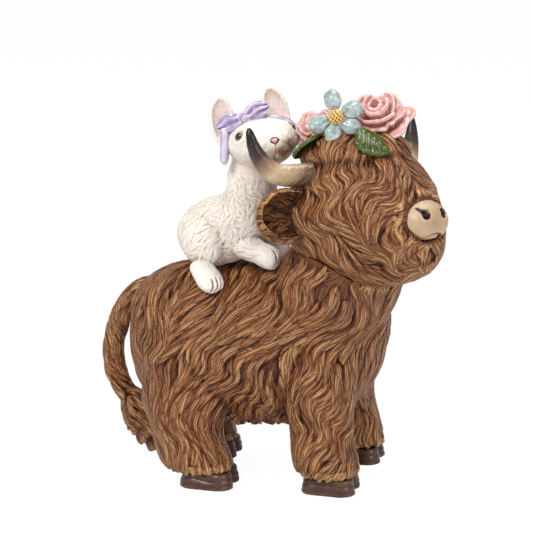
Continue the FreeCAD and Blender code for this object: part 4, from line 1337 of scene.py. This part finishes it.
def makeLeaf(name, spec, material):
    rows, columns = 90, 61
    u, v = sheetGrid(rows, columns)
    half = leafForm["width"] / 2 * np.sin(u ** 0.85 * math.pi) ** 0.8
    half = half * (1 + 0.05 * np.sin(u * 2 * math.pi * leafForm["veins"]) * np.abs(v) ** 3) + 0.05
    slant = (u - 0.34 * np.abs(v) ** 0.9) * leafForm["veins"] + 0.1
    vein = hill(slant % 1, 0.012 ** 0.5, 0.5) * smoothStep(0.04, 0.16, np.abs(v))
    vein = vein * smoothStep(1.0, 0.75, np.abs(v)) * smoothStep(0.0, 0.1, u)
    rib = hill(v * half, 0.34) * smoothStep(1.0, 0.85, u)
    puff = np.abs(np.sin(slant * math.pi)) * (1 - v ** 2) * leafForm["puff"]
    dome = -spec["droop"] * (v ** 2) * np.sin(u * math.pi) ** 0.5 - 1.2 * (u - 0.35) ** 2
    top = dome + leafForm["thickness"] * (1 - 0.5 * np.abs(v) ** 10)
    top = top + leafForm["depth"] * (vein + 1.3 * rib) - puff * 0.6
    layers = [np.stack([u * leafForm["length"], v * half, height], 2) for height in (top, dome - 0.1)]
    points = np.concatenate(layers).reshape(-1, 3)
    # painted highlight on the raised veins and midrib, painted shade in the sunken bands between them
    carve = np.clip(0.4 - puff + 0.5 * vein + 0.5 * rib, 0, 1).ravel()
    place = seated(headPlace, spec["place"])
    # the squares are turned over, because the upper side comes first
    addPiece(f"leaf_{name}_veined", moved(points, place), sheetFaces(rows, columns)[:, ::-1],
             {"carve": np.concatenate([carve, carve])}, material, [f"leaf_{name}"])


leafMaterial = paint("leafPaint", leafForm)
for leafName, leafSpec in leaves.items():
    makeLeaf(leafName, leafSpec, leafMaterial)
say("leaves are made")

# a pale floor and three soft lamps
lights = {
    "floor": (0.86, 0.86, 0.86),
    "floorGlow": 1.03,
    "floorShare": 0.94,  # the rest of the floor's light keeps the shadow
    "world": 0.4,
    "lamps": {  # place in metres, width and power
        "keyLight": ((-0.35, -0.75, 0.85), 0.4, 8.0),
        "fillLight": ((0.85, -0.45, 0.45), 0.5, 2.6),
        "topLight": ((0.1, 0.25, 1.0), 0.45, 4.2),
    },
}


def studio():
    floorMesh = bpy.data.meshes.new("floor")
    floorMesh.from_pydata([(-3, -3, 0), (3, -3, 0), (3, 3, 0), (-3, 3, 0)], [], [(0, 1, 2, 3)])
    floor = addItem("floor", floorMesh)
    shader = Shader("paper")
    shader.set(colour=(*lights["floor"], 1), roughness=0.9)
    glow = shader.node("ShaderNodeEmission", {"Color": (1, 1, 1, 1), "Strength": lights["floorGlow"]})
    seen = shader.node("ShaderNodeLightPath").outputs["Is Camera Ray"]
    share = shader.math("MULTIPLY", seen, lights["floorShare"])
    blend = shader.node("ShaderNodeMixShader", {0: share, 1: shader.surface.outputs[0], 2: glow.outputs[0]})
    shader.feed(shader.tree.nodes["Material Output"].inputs["Surface"], blend.outputs[0])
    floorMesh.materials.append(shader.material)
    # the camera sees a white world, and the lamps' soft fill stays low
    scene.world = bpy.data.worlds.new("studio")
    scene.world.use_nodes = True
    tree = scene.world.node_tree
    blend = tree.nodes.new("ShaderNodeMixShader")
    path = tree.nodes.new("ShaderNodeLightPath")
    tree.links.new(path.outputs["Is Camera Ray"], blend.inputs[0])
    grounds = (tree.nodes["Background"], tree.nodes.new("ShaderNodeBackground"))
    for number, (ground, strength) in enumerate(zip(grounds, (lights["world"], 1.0)), 1):
        ground.inputs["Color"].default_value = (1, 1, 1, 1)
        ground.inputs["Strength"].default_value = strength
        tree.links.new(ground.outputs[0], blend.inputs[number])
    tree.links.new(blend.outputs[0], tree.nodes["World Output"].inputs["Surface"])
    for name, (place, width, power) in lights["lamps"].items():
        data = bpy.data.lights.new(name, "AREA")
        data.size = width
        data.energy = power
        lamp = addItem(name, data)
        lamp.location = place
        lamp.rotation_euler = (Vector((0, 0, 0.08)) - Vector(place)).to_track_quat("-Z", "Y").to_euler()


# the photograph's angle: degrees to the cow's front and up, and the distance in metres
view = {"target": (-1.5, -11.2, 88.7), "aside": 13, "up": 12, "distance": 0.9, "lens": 152}


def camera():
    aside, up = math.radians(view["aside"]), math.radians(view["up"])
    back = Vector((math.sin(aside) * math.cos(up), -math.cos(aside) * math.cos(up), math.sin(up)))
    data = bpy.data.cameras.new("camera")
    data.lens = view["lens"]
    data.sensor_width = 36
    item = addItem("camera", data)
    item.location = Vector(view["target"]) * 0.001 + back * view["distance"]
    item.rotation_euler = (-back).to_track_quat("-Z", "Y").to_euler()
    scene.camera = item


studio()
camera()
scene.view_settings.view_transform = "Standard"
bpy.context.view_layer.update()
say("done")
